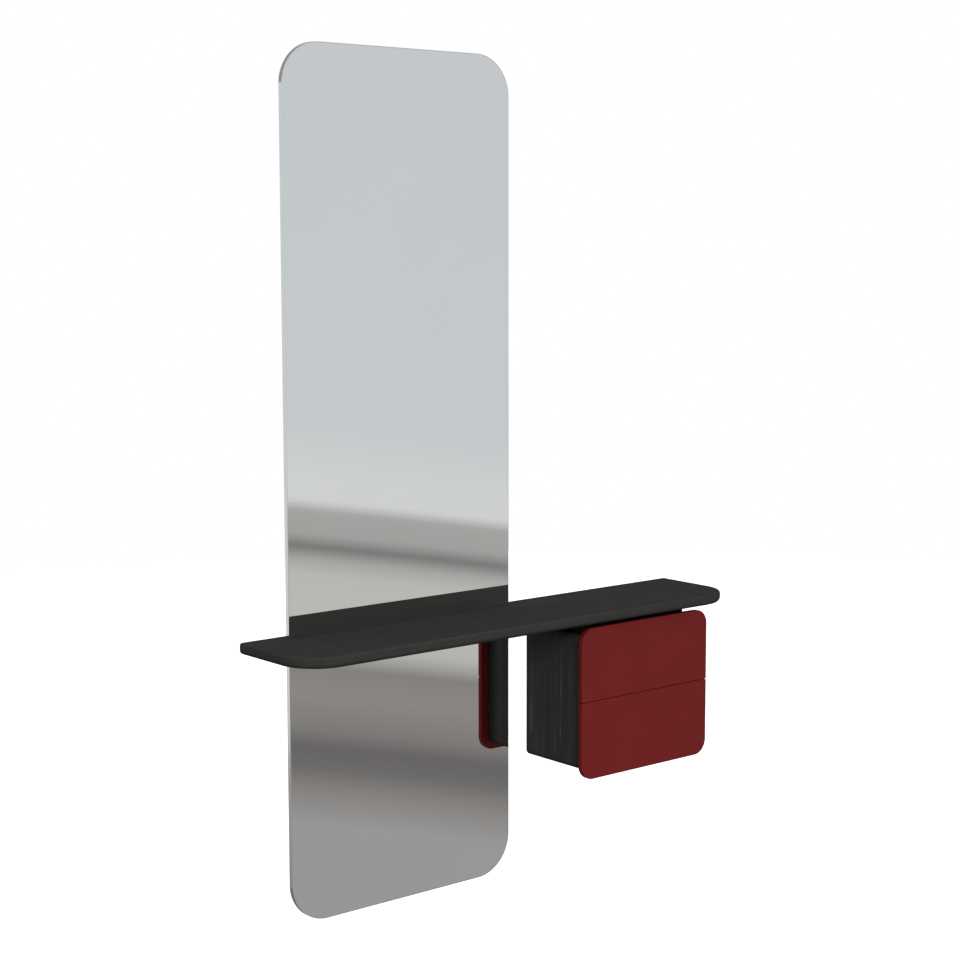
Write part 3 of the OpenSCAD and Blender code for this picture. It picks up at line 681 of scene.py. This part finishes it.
def screw(axis, head_at, sign, head_r, head_h, length, shank_r, kind="pan", pitch=None, recess="cross", n=28, plain=0.0):
    """Screw whose head's underside is at head_at; the shank runs along sign, the head stands the other way."""
    pitch = pitch or max(0.5, shank_r * 0.55)
    head = [(-head_h, 0.0)]
    if kind == "pan":
        head += [(-head_h, 0.55 * head_r), (-head_h * 0.93, 0.74 * head_r), (-head_h * 0.76, 0.90 * head_r), (-head_h * 0.48, 0.985 * head_r), (-head_h * 0.2, head_r)]
    elif kind == "flush":
        head += [(-head_h, 0.90 * head_r), (-head_h * 0.9, 0.97 * head_r), (-head_h * 0.6, head_r)]
    else:
        head += [(-head_h, 0.86 * head_r), (-head_h * 0.965, 0.94 * head_r), (-head_h * 0.88, head_r)]
    head += [(0.0, head_r * 0.98), (0.0, shank_r * 0.8)]
    r = thread(shank_r, shank_r * 0.74, pitch)
    body = []
    if plain > 0:
        body += [(0.05, shank_r * 0.97), (plain, shank_r * 0.97)]
    h = plain + 0.1
    tip = min(shank_r * 1.3, length * 0.3)
    step = pitch / 6
    while h < length - tip:
        body.append((h, r))
        h += step
    body += [(length - tip, shank_r * 0.72), (length - 0.15 * tip, shank_r * 0.18), (length, 0.0)]
    part = lathe(axis, head_at, sign, head + body, n)
    if recess == "cross":
        cutter = cross_cutter(axis, head_at, sign, -head_h, head_h * 0.62, head_r * 0.56, head_r * 0.135)
        part = cut(part, [cutter])
    elif recess:
        part = cut(part, [hex_cutter(axis, head_at, sign, -head_h, head_h * 0.6, recess)])
    return part


def screws_from(node, axis, sign, head_r, head_h, shank_r, name, mat, **kw):
    """One finished screw for each solid of the node, all in one piece. sign is the way the shank points: +1, -1, or a
    function of the solid's box."""
    i = "XYZ".index(axis)
    protos, parts = {}, []
    for lo, hi in islands(node):
        s = sign(lo, hi) if callable(sign) else sign
        mid = (lo + hi) / 2
        length = hi[i] - lo[i] - head_h
        if (s, round(length, 2)) not in protos:
            protos[(s, round(length, 2))] = screw(axis, (0.0, 0.0, 0.0), s, head_r, head_h, length, shank_r, **kw)
        at = mid.copy()
        at[i] = lo[i] + head_h if s > 0 else hi[i] - head_h
        parts.append(moved(protos[(s, round(length, 2))], at))
    return finish(name, join(parts), node, mat, angle=40)


# ---------------------------------------------------------------- mirror
def make_mirror():
    lo, hi = bx("mirror_glass")
    r = 90.0 - 1.3
    line = outline(lo[0], lo[2], hi[0], hi[2], [r] * 4)
    part = plate("Y", line, lo[1], hi[1], 0.25, 0.3, 2)

    def pick(c, n):
        if n.y < -0.3:
            return 0
        return 2 if n.y > 0.98 else 1

    finish("mirror_glass_plate", part, "mirror_glass", ["mirror_silver", "glass_edge", "mirror_backing_paint"], pick)

    # trim: a thin band round the edge, its two lips rounded
    lo, hi = bx("mirror_edge_trim")
    line = outline(lo[0], lo[2], hi[0], hi[2], [90.0] * 4)
    t, f = 1.2, 0.2
    sec = []
    for cu, cw, a0 in ((f, lo[1] + f, 180), (t - f, lo[1] + f, 270), (t - f, hi[1] - f, 0), (f, hi[1] - f, 90)):
        for k in range(4):
            a = math.radians(a0 + 30.0 * k)
            sec.append((cu + f * math.cos(a), cw + f * math.sin(a)))
    n, k = len(line), len(sec)
    verts = [place("Y", u - nu * d, v - nv * d, w) for u, v, nu, nv in line for d, w in sec]
    faces = [(i * k + j, i * k + (j + 1) % k, ((i + 1) % n) * k + (j + 1) % k, ((i + 1) % n) * k + j) for i in range(n) for j in range(k)]
    finish("mirror_edge_band", (verts, faces), "mirror_edge_trim", "edge_trim")

    # backing board with its screw holes
    lo, hi = bx("mirror_backing_board")
    part = plate("Y", outline(lo[0], lo[2], hi[0], hi[2], [r] * 4), lo[1], hi[1], 0.0, 0.6, 3)
    holes = [pin("Y", (a + b) / 2, 1.55, hi[1] - 4.5, hi[1] + 1, 20) for a, b in islands("mirror_rail_screws")]
    finish("mirror_backing", cut(part, holes), "mirror_backing_board", "backing_board")


def make_rails():
    for which in ("upper", "lower"):
        name = f"mirror_{which}_wall_rail"
        lo, hi = bx(name)
        z = hi[2] - 24.0
        pts = [(0, z - 18), (-3, z - 18), (-3, z + 8), (-11, z + 8), (-11, z + 24), (-8, z + 24), (-8, z + 11), (0, z + 11)]
        part = extrude("X", fillet(pts, [0.4, 0.8, 1.2, 0.9, 0.6, 0.6, 1.2, 0.4]), lo[0], hi[0])
        mid = (lo[0] + hi[0]) / 2
        cutters = [lathe("Y", (mid + s * 150.0, 0.0, z), 1, [(-4.0, 4.3), (-3.0, 3.75), (-2.5, 3.25), (1.0, 3.25)], 40) for s in (-1, 1)]
        finish(f"{which}_wall_rail_extrusion", cut(part, cutters), name, "rail_aluminium")

        name = f"mirror_{which}_panel_rail"
        lo, hi = bx(name)
        y = lo[1]
        z = lo[2] - 2.0
        top = hi[2]
        pts = [(y, lo[2]), (y + 3, lo[2]), (y + 3, top - 3), (hi[1] - 3, top - 3), (hi[1] - 3, z + 16), (hi[1], z + 16), (hi[1], top), (y, top)]
        part = extrude("X", fillet(pts, [0.4, 0.7, 1.2, 1.2, 0.6, 0.6, 1.0, 0.4]), lo[0], hi[0])
        holes = [pin("Y", (a + b) / 2, 1.55, y - 1, y + 4, 24) for a, b in islands("mirror_rail_screws") if lo[2] < a[2] < hi[2]]
        finish(f"{which}_panel_rail_extrusion", cut(part, holes), name, "rail_aluminium")

    screws_from("mirror_rail_screws", "Y", -1, 3.0, 1.6, 1.5, "rail_pan_screws", "zinc_screws", kind="pan")

    # moulded rubber pads: a rounded disc with a slight waist and a shallow ring on each face
    parts = []
    for lo, hi in islands("mirror_spacer_pads"):
        c, h, r = (lo + hi) / 2, hi[1] - lo[1], (hi[0] - lo[0]) / 2
        rings = [(0.0, 0.0), (0.0, r * 0.62), (0.5, r * 0.66), (0.5, r * 0.76), (0.0, r * 0.8), (0.0, r - 0.9), (0.3, r - 0.3), (0.9, r)]
        waist = [(h * 0.3, r - 0.25), (h * 0.5, r - 0.4), (h * 0.7, r - 0.25)]
        rings = rings + waist + [(h - a, b) for a, b in reversed(rings)]
        parts.append(lathe("Y", (c[0], lo[1], c[2]), 1, rings, 48))
    finish("rubber_pads", join(parts), "mirror_spacer_pads", "pad_rubber")


# ---------------------------------------------------------------- shelf
def make_shelf():
    lo, hi = bx("shelf_board")
    tlo, thi = bx("mirror_edge_trim")
    gap, lip = 0.5, 25.0
    nx0, nx1, ny = tlo[0] - gap, thi[0] + gap, tlo[1] - gap
    # behind the panel the notch is narrower: the shelf's ends reach in behind the panel's edges
    lx0, lx1, ly = tlo[0] + lip, thi[0] - lip, bx("mirror_backing_board")[1][1] + gap
    r, rt, rb = 92.0, 6.0, 10.5
    yc = lo[1] + r
    path = [(lo[0], 0.0, -1.0, 0.0)]
    n = 28
    for i in range(n + 1):
        a = math.radians(180 + 90 * i / n)
        path.append((lo[0] + r + r * math.cos(a), yc + r * math.sin(a), math.cos(a), math.sin(a)))
    for i in range(n + 1):
        a = math.radians(270 + 90 * i / n)
        path.append((hi[0] - r + r * math.cos(a), yc + r * math.sin(a), math.cos(a), math.sin(a)))
    path.append((hi[0], 0.0, 1.0, 0.0))
    prof = []
    for k in range(9):
        a = math.pi / 2 * k / 8
        prof.append((rb - rb * math.sin(a), lo[2] + rb - rb * math.cos(a)))
    for k in range(7):
        a = math.pi / 2 * k / 6
        prof.append((rt - rt * math.cos(a), hi[2] - rt + rt * math.sin(a)))
    m = len(prof)
    verts = [(x - nx * d, y - ny_ * d, z) for x, y, nx, ny_ in path for d, z in prof]
    faces = []
    for i in range(len(path) - 1):
        for j in range(m - 1):
            faces.append((i * m + j, (i + 1) * m + j, (i + 1) * m + j + 1, i * m + j + 1))
    base = len(verts)
    # notch and back corners: lower then upper
    notch = [(lx1, 0.0), (lx1, ly), (nx1, ly), (nx1, ny), (nx0, ny), (nx0, ly), (lx0, ly), (lx0, 0.0)]
    c = len(notch)
    for z in (lo[2], hi[2]):
        verts += [(u, v, z) for u, v in notch]
    low = [base + k for k in range(c)]
    up = [base + c + k for k in range(c)]
    last = len(path) - 1
    faces.append(tuple([i * m + m - 1 for i in range(len(path))] + up))
    faces.append(tuple(reversed([i * m for i in range(len(path))] + low)))
    for k in range(c - 1):
        faces.append((low[k], low[k + 1], up[k + 1], up[k]))
    faces.append(tuple([low[0]] + [last * m + j for j in range(m)] + [up[0]]))
    faces.append(tuple([low[-1], up[-1]] + [j for j in range(m - 1, -1, -1)]))
    part = (verts, faces)

    cutters = []
    for bar in ("shelf_left_support_bar", "shelf_right_support_bar"):
        a, b = bx(bar)
        line = outline(a[0] - 1, a[2] - 0.3, b[0] + 1, b[2] + 0.3, [2.0] * 4)
        cutters.append(plate("Y", line, a[1] - 0.5, 1.0))
    for a, b in islands("shelf_support_rods"):
        c = (a + b) / 2
        cutters.append(pin("Y", c, 6.1, a[1] - 8, -4.0, 32))
        cutters.append(pin("Z", (c[0], -110.0, 0.0), 3.05, lo[2] - 1, c[2], 28))
    for a, b in islands("cabinet_to_shelf_screws"):
        cutters.append(pin("Z", (a + b) / 2, 2.55, lo[2] - 1, lo[2] + 17, 20))
    finish("shelf_board_veneered", cut(part, cutters), "shelf_board", "shelf_wood", angle=30)

    # flat steel bars with rounded long edges, and their wall holes
    for side in ("left", "right"):
        name = f"shelf_{side}_support_bar"
        a, b = bx(name)
        part = plate("Y", outline(a[0], a[2], b[0], b[2], [1.5] * 4), a[1], b[1], 0.6, 0.3, 3)
        mid = (a[0] + b[0]) / 2
        half = 15.0 if side == "left" else 170.0
        zc = (a[2] + b[2]) / 2
        holes = [lathe("Y", (mid + s * half, 0.0, zc), 1, [(a[1] - 1, 3.75), (a[1] + 0.01, 3.7), (a[1] + 0.45, 3.25), (1.0, 3.25)], 36) for s in (-1, 1)]
        finish(f"{side}_bar_powder_coated", cut(part, holes), name, "support_steel")

    parts = []
    for a, b in islands("shelf_support_rods"):
        c, r, l = (a + b) / 2, (b[0] - a[0]) / 2, b[1] - a[1]
        rings = [(0.0, 0.0), (0.0, r - 1.2), (0.35, r - 0.7), (1.2, r)]
        # a shallow flat ring for the locking screw to bite in
        h0 = -110.0 - a[1]
        rings += [(h0 - 5.0, r), (h0 - 4.4, r - 0.35), (h0 + 4.4, r - 0.35), (h0 + 5.0, r), (l, r), (l, 0.0)]
        parts.append(lathe("Y", (c[0], a[1], c[2]), 1, rings, 40))
    finish("support_rods", join(parts), "shelf_support_rods", "rod_steel")

    parts = []
    proto = None
    for a, b in islands("shelf_locking_screws"):
        c, l = (a + b) / 2, b[2] - a[2]
        if proto is None:
            r = thread(3.0, 2.5, 1.0)
            rings = [(0.0, 0.0), (0.0, 2.3), (0.4, 2.75)]
            h = 0.6
            while h < l - 0.9:
                rings.append((h, r))
                h += 1.0 / 6
            rings += [(l - 0.7, 2.6), (l - 0.1, 1.6), (l - 0.1, 1.2), (l - 0.5, 0.0)]
            proto = cut(lathe("Z", (0, 0, 0), 1, rings, 30), [hex_cutter("Z", (0, 0, 0), 1, 0.0, 2.6, 1.7)])
        parts.append(moved(proto, (c[0], c[1], a[2])))
    finish("grub_screws", join(parts), "shelf_locking_screws", "black_screws", angle=40)


# ---------------------------------------------------------------- cabinet
def make_cabinet():
    # sides: their two long outer edges well rounded
    dowels = islands("cabinet_dowels")
    rscrews = islands("cabinet_runner_screws")
    for side in ("left", "right"):
        name = f"cabinet_{side}_side"
        lo, hi = bx(name)
        r = [14.0, 0.5, 0.5, 14.0] if side == "left" else [0.5, 14.0, 14.0, 0.5]
        part = plate("Y", outline(lo[0], lo[2], hi[0], hi[2], r), lo[1], hi[1], 0.45, 0.45, 3)
        cutters = []
        for a, b in dowels:
            if a[0] < hi[0] and b[0] > lo[0]:
                x = (a[0] - 0.5, hi[0] + 1) if side == "left" else (lo[0] - 1, b[0] + 0.5)
                cutters.append(pin("X", (a + b) / 2, 4.05, *x, 24))
        for a, b in rscrews:
            if a[0] < hi[0] and b[0] > lo[0]:
                x = (a[0] - 0.5, hi[0] + 1) if side == "left" else (lo[0] - 1, b[0] + 0.5)
                cutters.append(pin("X", (a + b) / 2, 1.55, *x, 16))
        finish(f"cabinet_{side}_panel", cut(part, cutters), name, "cabinet_wood")

    for name, out in (("cabinet_top", "cabinet_top_panel"), ("cabinet_bottom", "cabinet_bottom_panel")):
        lo, hi = bx(name)
        part = board(name, "Z", 0.4)
        cutters = [pin("X", (a + b) / 2, 4.05, max(a[0], lo[0] - 1) - 0.5, min(b[0], hi[0] + 1) + 0.5, 24) for a, b in dowels if lo[2] < a[2] and b[2] < hi[2]]
        if name == "cabinet_top":
            cutters += [pin("Z", (a + b) / 2, 2.55, lo[2] - 1, hi[2] + 1, 20) for a, b in islands("cabinet_to_shelf_screws")]
        finish(out, cut(part, cutters), name, "cabinet_wood_flat")

    lo, hi = bx("cabinet_back")
    part = board("cabinet_back", "Y", 0.3)
    cutters = [pin("Y", (a + b) / 2, 3.05, lo[1] - 1, hi[1] + 1, 24) for a, b in islands("cabinet_plate_screws")]
    finish("cabinet_back_panel", cut(part, cutters), "cabinet_back", "cabinet_back_board")

    # spacer block: runs back to the wall plate's plane, arrises eased
    lo, hi = bx("cabinet_spacer")
    part = plate("Z", outline(lo[0], lo[1], hi[0], hi[1], [1.5] * 4), lo[2], hi[2], 0.4, 0.4, 3)
    cutters = [pin("Z", (a + b) / 2, 2.55, lo[2] - 1, hi[2] + 1, 20) for a, b in islands("cabinet_to_shelf_screws")]
    finish("cabinet_spacer_block", cut(part, cutters), "cabinet_spacer", "spacer_black")
    screws_from("cabinet_to_shelf_screws", "Z", 1, 5.0, 2.4, 2.5, "spacer_long_screws", "zinc_screws", kind="pan", plain=46.0, pitch=1.8)

    # fluted beech dowels with chamfered ends
    def flute(r):
        return lambda t, h: r * (1.0 - 0.045 * (0.5 - 0.5 * math.cos(20 * t)) ** 2)

    parts = []
    for a, b in dowels:
        c, l = (a + b) / 2, b[0] - a[0]
        parts.append(lathe("X", (a[0], c[1], c[2]), 1, [(0, 0.0), (0, 3.0), (1.1, flute(3.98)), (l - 1.1, flute(3.98)), (l, 3.0), (l, 0.0)], 80))
    finish("fluted_dowels", join(parts), "cabinet_dowels", "dowel_beech", angle=50)

    # wall plate: pressed sheet, rounded corners, holes with a slight draw
    lo, hi = bx("cabinet_wall_plate")
    part = plate("Y", outline(lo[0], lo[2], hi[0], hi[2], [5.0] * 4), lo[1], hi[1], 0.5, 0.3, 3)
    mid = (lo + hi) / 2
    cutters = []
    for sx in (-110.0, 110.0):
        for sz in (-15.0, 15.0):
            cutters.append(lathe("Y", (mid[0] + sx, 0, mid[2] + sz), 1, [(lo[1] - 1, 4.1), (lo[1] + 0.02, 4.0), (lo[1] + 0.5, 3.5), (1.0, 3.5)], 40))
    for a, b in islands("cabinet_plate_screws"):
        cutters.append(pin("Y", (a + b) / 2, 3.05, lo[1] - 1, 1.0, 32))
    finish("zinc_wall_plate", cut(part, cutters), "cabinet_wall_plate", "zinc_plate")
    screws_from("cabinet_plate_screws", "Y", 1, 6.0, 3.0, 3.0, "plate_cap_screws", "zinc_screws", kind="cap", recess=2.2, pitch=1.0)

    # soft buffers: low domes with a flat foot on the cabinet's edge
    parts = []
    for a, b in islands("cabinet_front_buffers"):
        c, r, h = (a + b) / 2, (b[0] - a[0]) / 2, b[1] - a[1]
        rings = [(0.0, 0.0), (0.0, r * 0.3), (h * 0.08, r * 0.55), (h * 0.28, r * 0.78), (h * 0.55, r * 0.93), (h * 0.8, r), (h, r * 0.98), (h, 0.0)]
        parts.append(lathe("Y", (c[0], a[1], c[2]), 1, rings, 32))
    finish("clear_buffers", join(parts), "cabinet_front_buffers", "buffer_clear", angle=50)


# ---------------------------------------------------------------- drawers
def make_drawers():
    for d in ("upper", "lower"):
        lo, hi = bx(f"{d}_drawer_front")
        big, small = 35.0, 2.5
        r = [small, small, big, big] if d == "upper" else [big, big, small, small]
        part = plate("Y", outline(lo[0], lo[2], hi[0], hi[2], r, 6), lo[1], hi[1], 1.6, 0.8, 5)
        screws = islands(f"{d}_front_screws")
        cutters = [pin("Y", (a + b) / 2, 2.05, hi[1] - 8.5, hi[1] + 1, 20) for a, b in screws]
        finish(f"{d}_front_lacquered", cut(part, cutters), f"{d}_drawer_front", "red_lacquer", angle=30)

        blo, bhi = bx(f"{d}_box_bottom")
        z0, z1 = blo[2] - 0.1, blo[2] + 5.9
        rs = islands(f"{d}_runner_screws")
        for side in ("left", "right"):
            name = f"{d}_box_{side}_side"
            a, b = bx(name)
            part = board(name, "X", 0.8)
            inner = (b[0] - 6.0, b[0] + 1.0) if side == "left" else (a[0] - 1.0, a[0] + 6.0)
            cutters = [block((inner[0], a[1] + 6.0, z0), (inner[1], b[1] - 6.0, z1))]
            for p, q in rs:
                if p[0] < b[0] and q[0] > a[0]:
                    x = (a[0] - 1, a[0] + 9.5) if side == "left" else (b[0] - 9.5, b[0] + 1)
                    cutters.append(pin("X", (p + q) / 2, 1.55, *x, 16))
            finish(f"{d}_box_{side}_ply", cut(part, cutters), name, "box_side")
        for end in ("front", "back"):
            name = f"{d}_box_{end}"
            a, b = bx(name)
            part = board(name, "Y", 0.8)
            y = (b[1] - 6.0, b[1] + 1.0) if end == "front" else (a[1] - 1.0, a[1] + 6.0)
            cutters = [block((a[0] - 1, y[0], z0), (b[0] + 1, y[1], z1))]
            if end == "front":
                cutters += [pin("Y", (p + q) / 2, 2.05, a[1] - 1, b[1] + 1, 20) for p, q in screws]
            finish(f"{d}_box_{end}_ply", cut(part, cutters), name, "box_end")
        finish(f"{d}_box_bottom_ply", board(f"{d}_box_bottom", "Z", 0.4), f"{d}_box_bottom", "box_bottom")
        screws_from(f"{d}_front_screws", "Y", -1, 4.0, 1.8, 2.0, f"{d}_front_pan_screws", "zinc_screws", kind="pan", pitch=1.4)


# ---------------------------------------------------------------- runners
def make_runners():
    lo, _ = bx("upper_left_runner_outer")
    in_x0 = lo[0]
    _, hi = bx("upper_right_runner_outer")
    in_x1 = hi[0]
    cab = islands("cabinet_runner_screws")
    for d in ("upper", "lower"):
        rs = islands(f"{d}_runner_screws")
        for side in ("left", "right"):
            s, x0 = (1.0, in_x0) if side == "left" else (-1.0, in_x1)

            def X(u):
                return x0 + s * u

            def band(a, b):
                return (min(X(a), X(b)), max(X(a), X(b)))

            # cabinet member: sheet bent to a C with turned-in lips
            name = f"{d}_{side}_runner_outer"
            lo, hi = bx(name)
            z = (lo[2] + hi[2]) / 2
            pts = [(0, -13.5), (8, -13.5), (8, -11.3), (7, -11.3), (7, -12.5), (1, -12.5), (1, 12.5), (7, 12.5), (7, 11.3), (8, 11.3), (8, 13.5), (0, 13.5)]
            rad = [1.5, 1.2, 0.3, 0.3, 0.35, 0.5, 0.5, 0.35, 0.3, 0.3, 1.2, 1.5]
            sec = [(X(u), z + v) for u, v in fillet(pts, rad)]
            part = extrude("Y", sec, lo[1], hi[1])
            mine = [(a, b) for a, b in cab if a[0] < hi[0] + 1 and b[0] > lo[0] - 1 and lo[2] < a[2] < hi[2]]
            cutters = [pin("X", (a + b) / 2, 3.05, *band(-1, 2), 28) for a, b in mine]
            part = cut(part, cutters)
            xb = band(0.5, 2.2)
            tab = plate("Y", outline(xb[0], z - 3, xb[1], z + 3, [0.5] * 4), lo[1], lo[1] + 1.2, 0.3, 0.3, 2)
            finish(f"{name}_channel", join([part, tab]), name, "runner_steel")

            # drawer member
            name = f"{d}_{side}_runner_inner"
            lo, hi = bx(name)
            pts = [(10, -9), (10, 9), (2.5, 9), (2.5, 8), (9, 8), (9, -8), (2.5, -8), (2.5, -9)]
            rad = [1.3, 1.3, 0.4, 0.4, 0.5, 0.5, 0.4, 0.4]
            sec = [(X(u), z + v) for u, v in fillet(pts, rad)]
            part = extrude("Y", sec, lo[1], hi[1])
            mine = [(a, b) for a, b in rs if a[0] < hi[0] + 1 and b[0] > lo[0] - 1]
            part = cut(part, [pin("X", (a + b) / 2, 3.05, *band(8, 11), 28) for a, b in mine])
            xb = band(1.5, 9.5)
            tab = plate("Y", outline(xb[0], z - 3, xb[1], z + 3, [0.8] * 4), hi[1] - 1.2, hi[1], 0.3, 0.3, 2)
            finish(f"{name}_channel", join([part, tab]), name, "runner_steel")

            # ball cage: thin strip with turned flanges, pocketed for the balls
            name = f"{d}_{side}_ball_cage"
            lo, hi = bx(name)
            balls = islands(f"{d}_{side}_balls")
            pts = [(1.4, -11.05), (6.6, -11.05), (6.6, -10.45), (2.0, -10.45), (2.0, 10.45), (6.6, 10.45), (6.6, 11.05), (1.4, 11.05)]
            rad = [0.7, 0.25, 0.25, 0.3, 0.3, 0.25, 0.25, 0.7]
            sec = [(X(u), z + v) for u, v in fillet(pts, rad)]
            part = extrude("Y", sec, lo[1], hi[1])
            cutters = [pin("Z", (a + b) / 2, 1.8, (a[2] + b[2]) / 2 - 1, (a[2] + b[2]) / 2 + 1, 24) for a, b in balls]
            finish(f"{name}_strip", cut(part, cutters), name, "cage_steel")

            parts = []
            for a, b in balls:
                c, r = (a + b) / 2, (b[2] - a[2]) / 2
                rings = [(-r * math.cos(math.pi * k / 14), r * math.sin(math.pi * k / 14) if 0 < k < 14 else 0.0) for k in range(15)]
                parts.append(lathe("Z", tuple(c), 1, rings, 28))
            finish(f"{d}_{side}_steel_balls", join(parts), f"{d}_{side}_balls", "ball_steel", angle=60)

        mid = (in_x0 + in_x1) / 2
        # drawer screws point away from the runner, into the box
        screws_from(f"{d}_runner_screws", "X", lambda a, b: 1 if (a[0] + b[0]) / 2 < mid else -1, 3.0, 0.8, 1.5, f"{d}_runner_flat_screws", "zinc_screws", kind="flush", n=24)
    screws_from("cabinet_runner_screws", "X", lambda a, b: -1 if (a[0] + b[0]) / 2 < mid else 1, 3.0, 0.8, 1.5, "cabinet_runner_flat_screws", "zinc_screws", kind="flush", n=24)


make_mirror()
make_rails()
make_shelf()
make_cabinet()
make_drawers()
make_runners()

# any node still shown in its own mesh gets its slot's material
FALL = {"mirror_glass": "mirror_silver", "box_wood": "box_side"}
for n, o in CAD.items():
    o.data.materials.clear()
    o.data.materials.append(M[FALL.get(SLOT[n], SLOT[n])])


# ---------------------------------------------------------------- floor, light and backdrop
def make_floor():
    lo, _ = bx("mirror_edge_trim")
    z = lo[2] / 1000.0 - 0.25
    bm = bmesh.new()
    n, r = 96, 7.0
    ring = [bm.verts.new((0.2 + r * math.cos(2 * math.pi * k / n), -0.8 + r * math.sin(2 * math.pi * k / n), z)) for k in range(n)]
    bm.faces.new(ring)
    me = bpy.data.meshes.new("studio_floor")
    bm.to_mesh(me)
    bm.free()
    o = bpy.data.objects.new("studio_floor", me)
    collection.objects.link(o)
    m = Mat("floor_white")
    n = m.noise(m.co, 3.0, 2.0)
    m.set(Base_Color=m.mix(n, lin(0.90, 0.90, 0.90), lin(0.93, 0.93, 0.93)), Roughness=0.9, Specular_IOR_Level=0.0, Emission_Color=lin(1, 1, 1), Emission_Strength=0.75)
    # the floor has no underside, so that the object can be seen from below
    clear = m.add("BsdfTransparent")
    both = m.add("MixShader", i0=m.add("NewGeometry").outputs["Backfacing"], i1=m.bsdf.outputs[0], i2=clear.outputs[0])
    m.put(m.out.inputs[0], both.outputs[0])
    me.materials.append(m.mat)
    o.visible_glossy = False
    o.visible_diffuse = False
    o.visible_shadow = False


def make_world():
    w = bpy.data.worlds.new("studio")
    scene.world = w
    w.use_nodes = True
    w.cycles.sampling_method = "NONE"
    t = Tree(w.node_tree)
    w.node_tree.nodes.clear()
    out = t.add("OutputWorld")
    d = t.add("TexCoord").outputs["Generated"]
    x, y, z = t.add("SeparateXYZ", Vector=d).outputs[:3]
    # height of a direction in the room, on a slightly tilted horizon
    h = t.math("ADD", t.math("ADD", z, t.math("MULTIPLY", x, 0.054)), t.math("ADD", t.math("MULTIPLY", y, 0.114), 0.051))
    ramp = t.add("ValToRGB", Fac=t.remap(h, -0.36, 0.14))
    k = 1.0 / 0.868
    stops = [
        (-0.36, (150, 150, 150)),
        (-0.297, (151, 150, 151)),
        (-0.283, (136, 132, 129)),
        (-0.270, (108, 106, 105)),
        (-0.261, (103, 100, 99)),
        (-0.252, (125, 122, 120)),
        (-0.236, (138, 134, 131)),
        (-0.223, (131, 128, 125)),
        (-0.213, (178, 178, 175)),
        (-0.200, (184, 184, 180)),
        (-0.179, (183, 183, 179)),
        (-0.1715, (166, 165, 163)),
        (-0.1650, (122, 119, 117)),
        (-0.1585, (160, 159, 157)),
        (-0.1475, (163, 162, 160)),
        (-0.1420, (205, 207, 206)),
        (-0.130, (205, 207, 206)),
        (-0.105, (197, 200, 202)),
        (0.00, (195, 199, 202)),
        (0.14, (195, 198, 201)),
    ]

    def fill(node, stops, lo, hi):
        el = node.color_ramp.elements
        while len(el) > 1:
            el.remove(el[-1])
        for i, (p, c) in enumerate(stops):
            p = (p - lo) / (hi - lo)
            e = el[0] if i == 0 else el.new(p)
            e.position = p
            e.color = srgb(*c, k)

    fill(ramp, stops, -0.36, 0.14)
    # the other side of the room, which only the outer edges of the panel face
    away = t.add("ValToRGB", Fac=t.remap(h, -0.32, 0.0))
    stops = [
        (-0.32, (104, 101, 99)),
        (-0.27, (108, 104, 101)),
        (-0.252, (148, 146, 144)),
        (-0.238, (148, 146, 144)),
        (-0.225, (120, 116, 113)),
        (-0.212, (126, 122, 119)),
        (-0.194, (138, 135, 132)),
        (-0.176, (150, 149, 147)),
        (-0.166, (147, 145, 143)),
        (-0.156, (138, 136, 134)),
        (-0.146, (145, 143, 141)),
        (-0.134, (190, 191, 190)),
        (-0.115, (198, 200, 201)),
        (0.0, (198, 200, 202)),
    ]
    fill(away, stops, -0.32, 0.0)
    sides = t.mix(t.smooth(y, 0.0, 0.3), ramp.outputs[0], away.outputs[0])
    # what light the room sends: more from above and from the open side of the room, less from the wall's side and from below
    dome = t.math("ADD", t.math("MULTIPLY", z, 0.18), t.math("MULTIPLY", y, -0.29))
    dome = t.math("ADD", dome, t.math("MULTIPLY", x, 0.04))
    dome = t.math("MULTIPLY", t.math("ADD", dome, 0.495), t.smooth(z, -0.8, 0.15, 0.2, 1.0))
    # the wall behind gives a little light back
    dome = t.math("ADD", dome, t.smooth(y, 0.3, 1.0, 0.0, 0.5))
    soft = t.add("CombineXYZ", X=dome, Y=dome, Z=dome).outputs[0]
    # the room's ceiling is a darker, warmer grey than its walls
    room = t.mix(t.smooth(h, 0.215, 0.265), sides, srgb(141, 137, 134, k))
    lp = t.add("LightPath")
    col = t.mix(lp.outputs["Is Diffuse Ray"], room, soft)
    col = t.mix(lp.outputs["Is Camera Ray"], col, lin(1, 1, 1))
    bg = t.add("Background", Color=col, Strength=1.0)
    t.tree.links.new(bg.outputs[0], out.inputs[0])


def area(name, at, look, size, power, color=(1, 1, 1)):
    data = bpy.data.lights.new(name, "AREA")
    data.shape = "RECTANGLE"
    data.size, data.size_y = size
    data.energy = power
    data.color = color
    o = bpy.data.objects.new(name, data)
    collection.objects.link(o)
    o.location = at
    o.rotation_euler = (Vector(look) - Vector(at)).to_track_quat("-Z", "Y").to_euler()
    o.visible_glossy = False
    o.visible_camera = False
    return o


make_floor()
make_world()
area("key", (-1.69, -3.54, 0.77), (0.3, -0.1, -1.0), (1.2, 1.2), 84.0)

scene.view_settings.view_transform = "Standard"
scene.view_settings.look = "None"
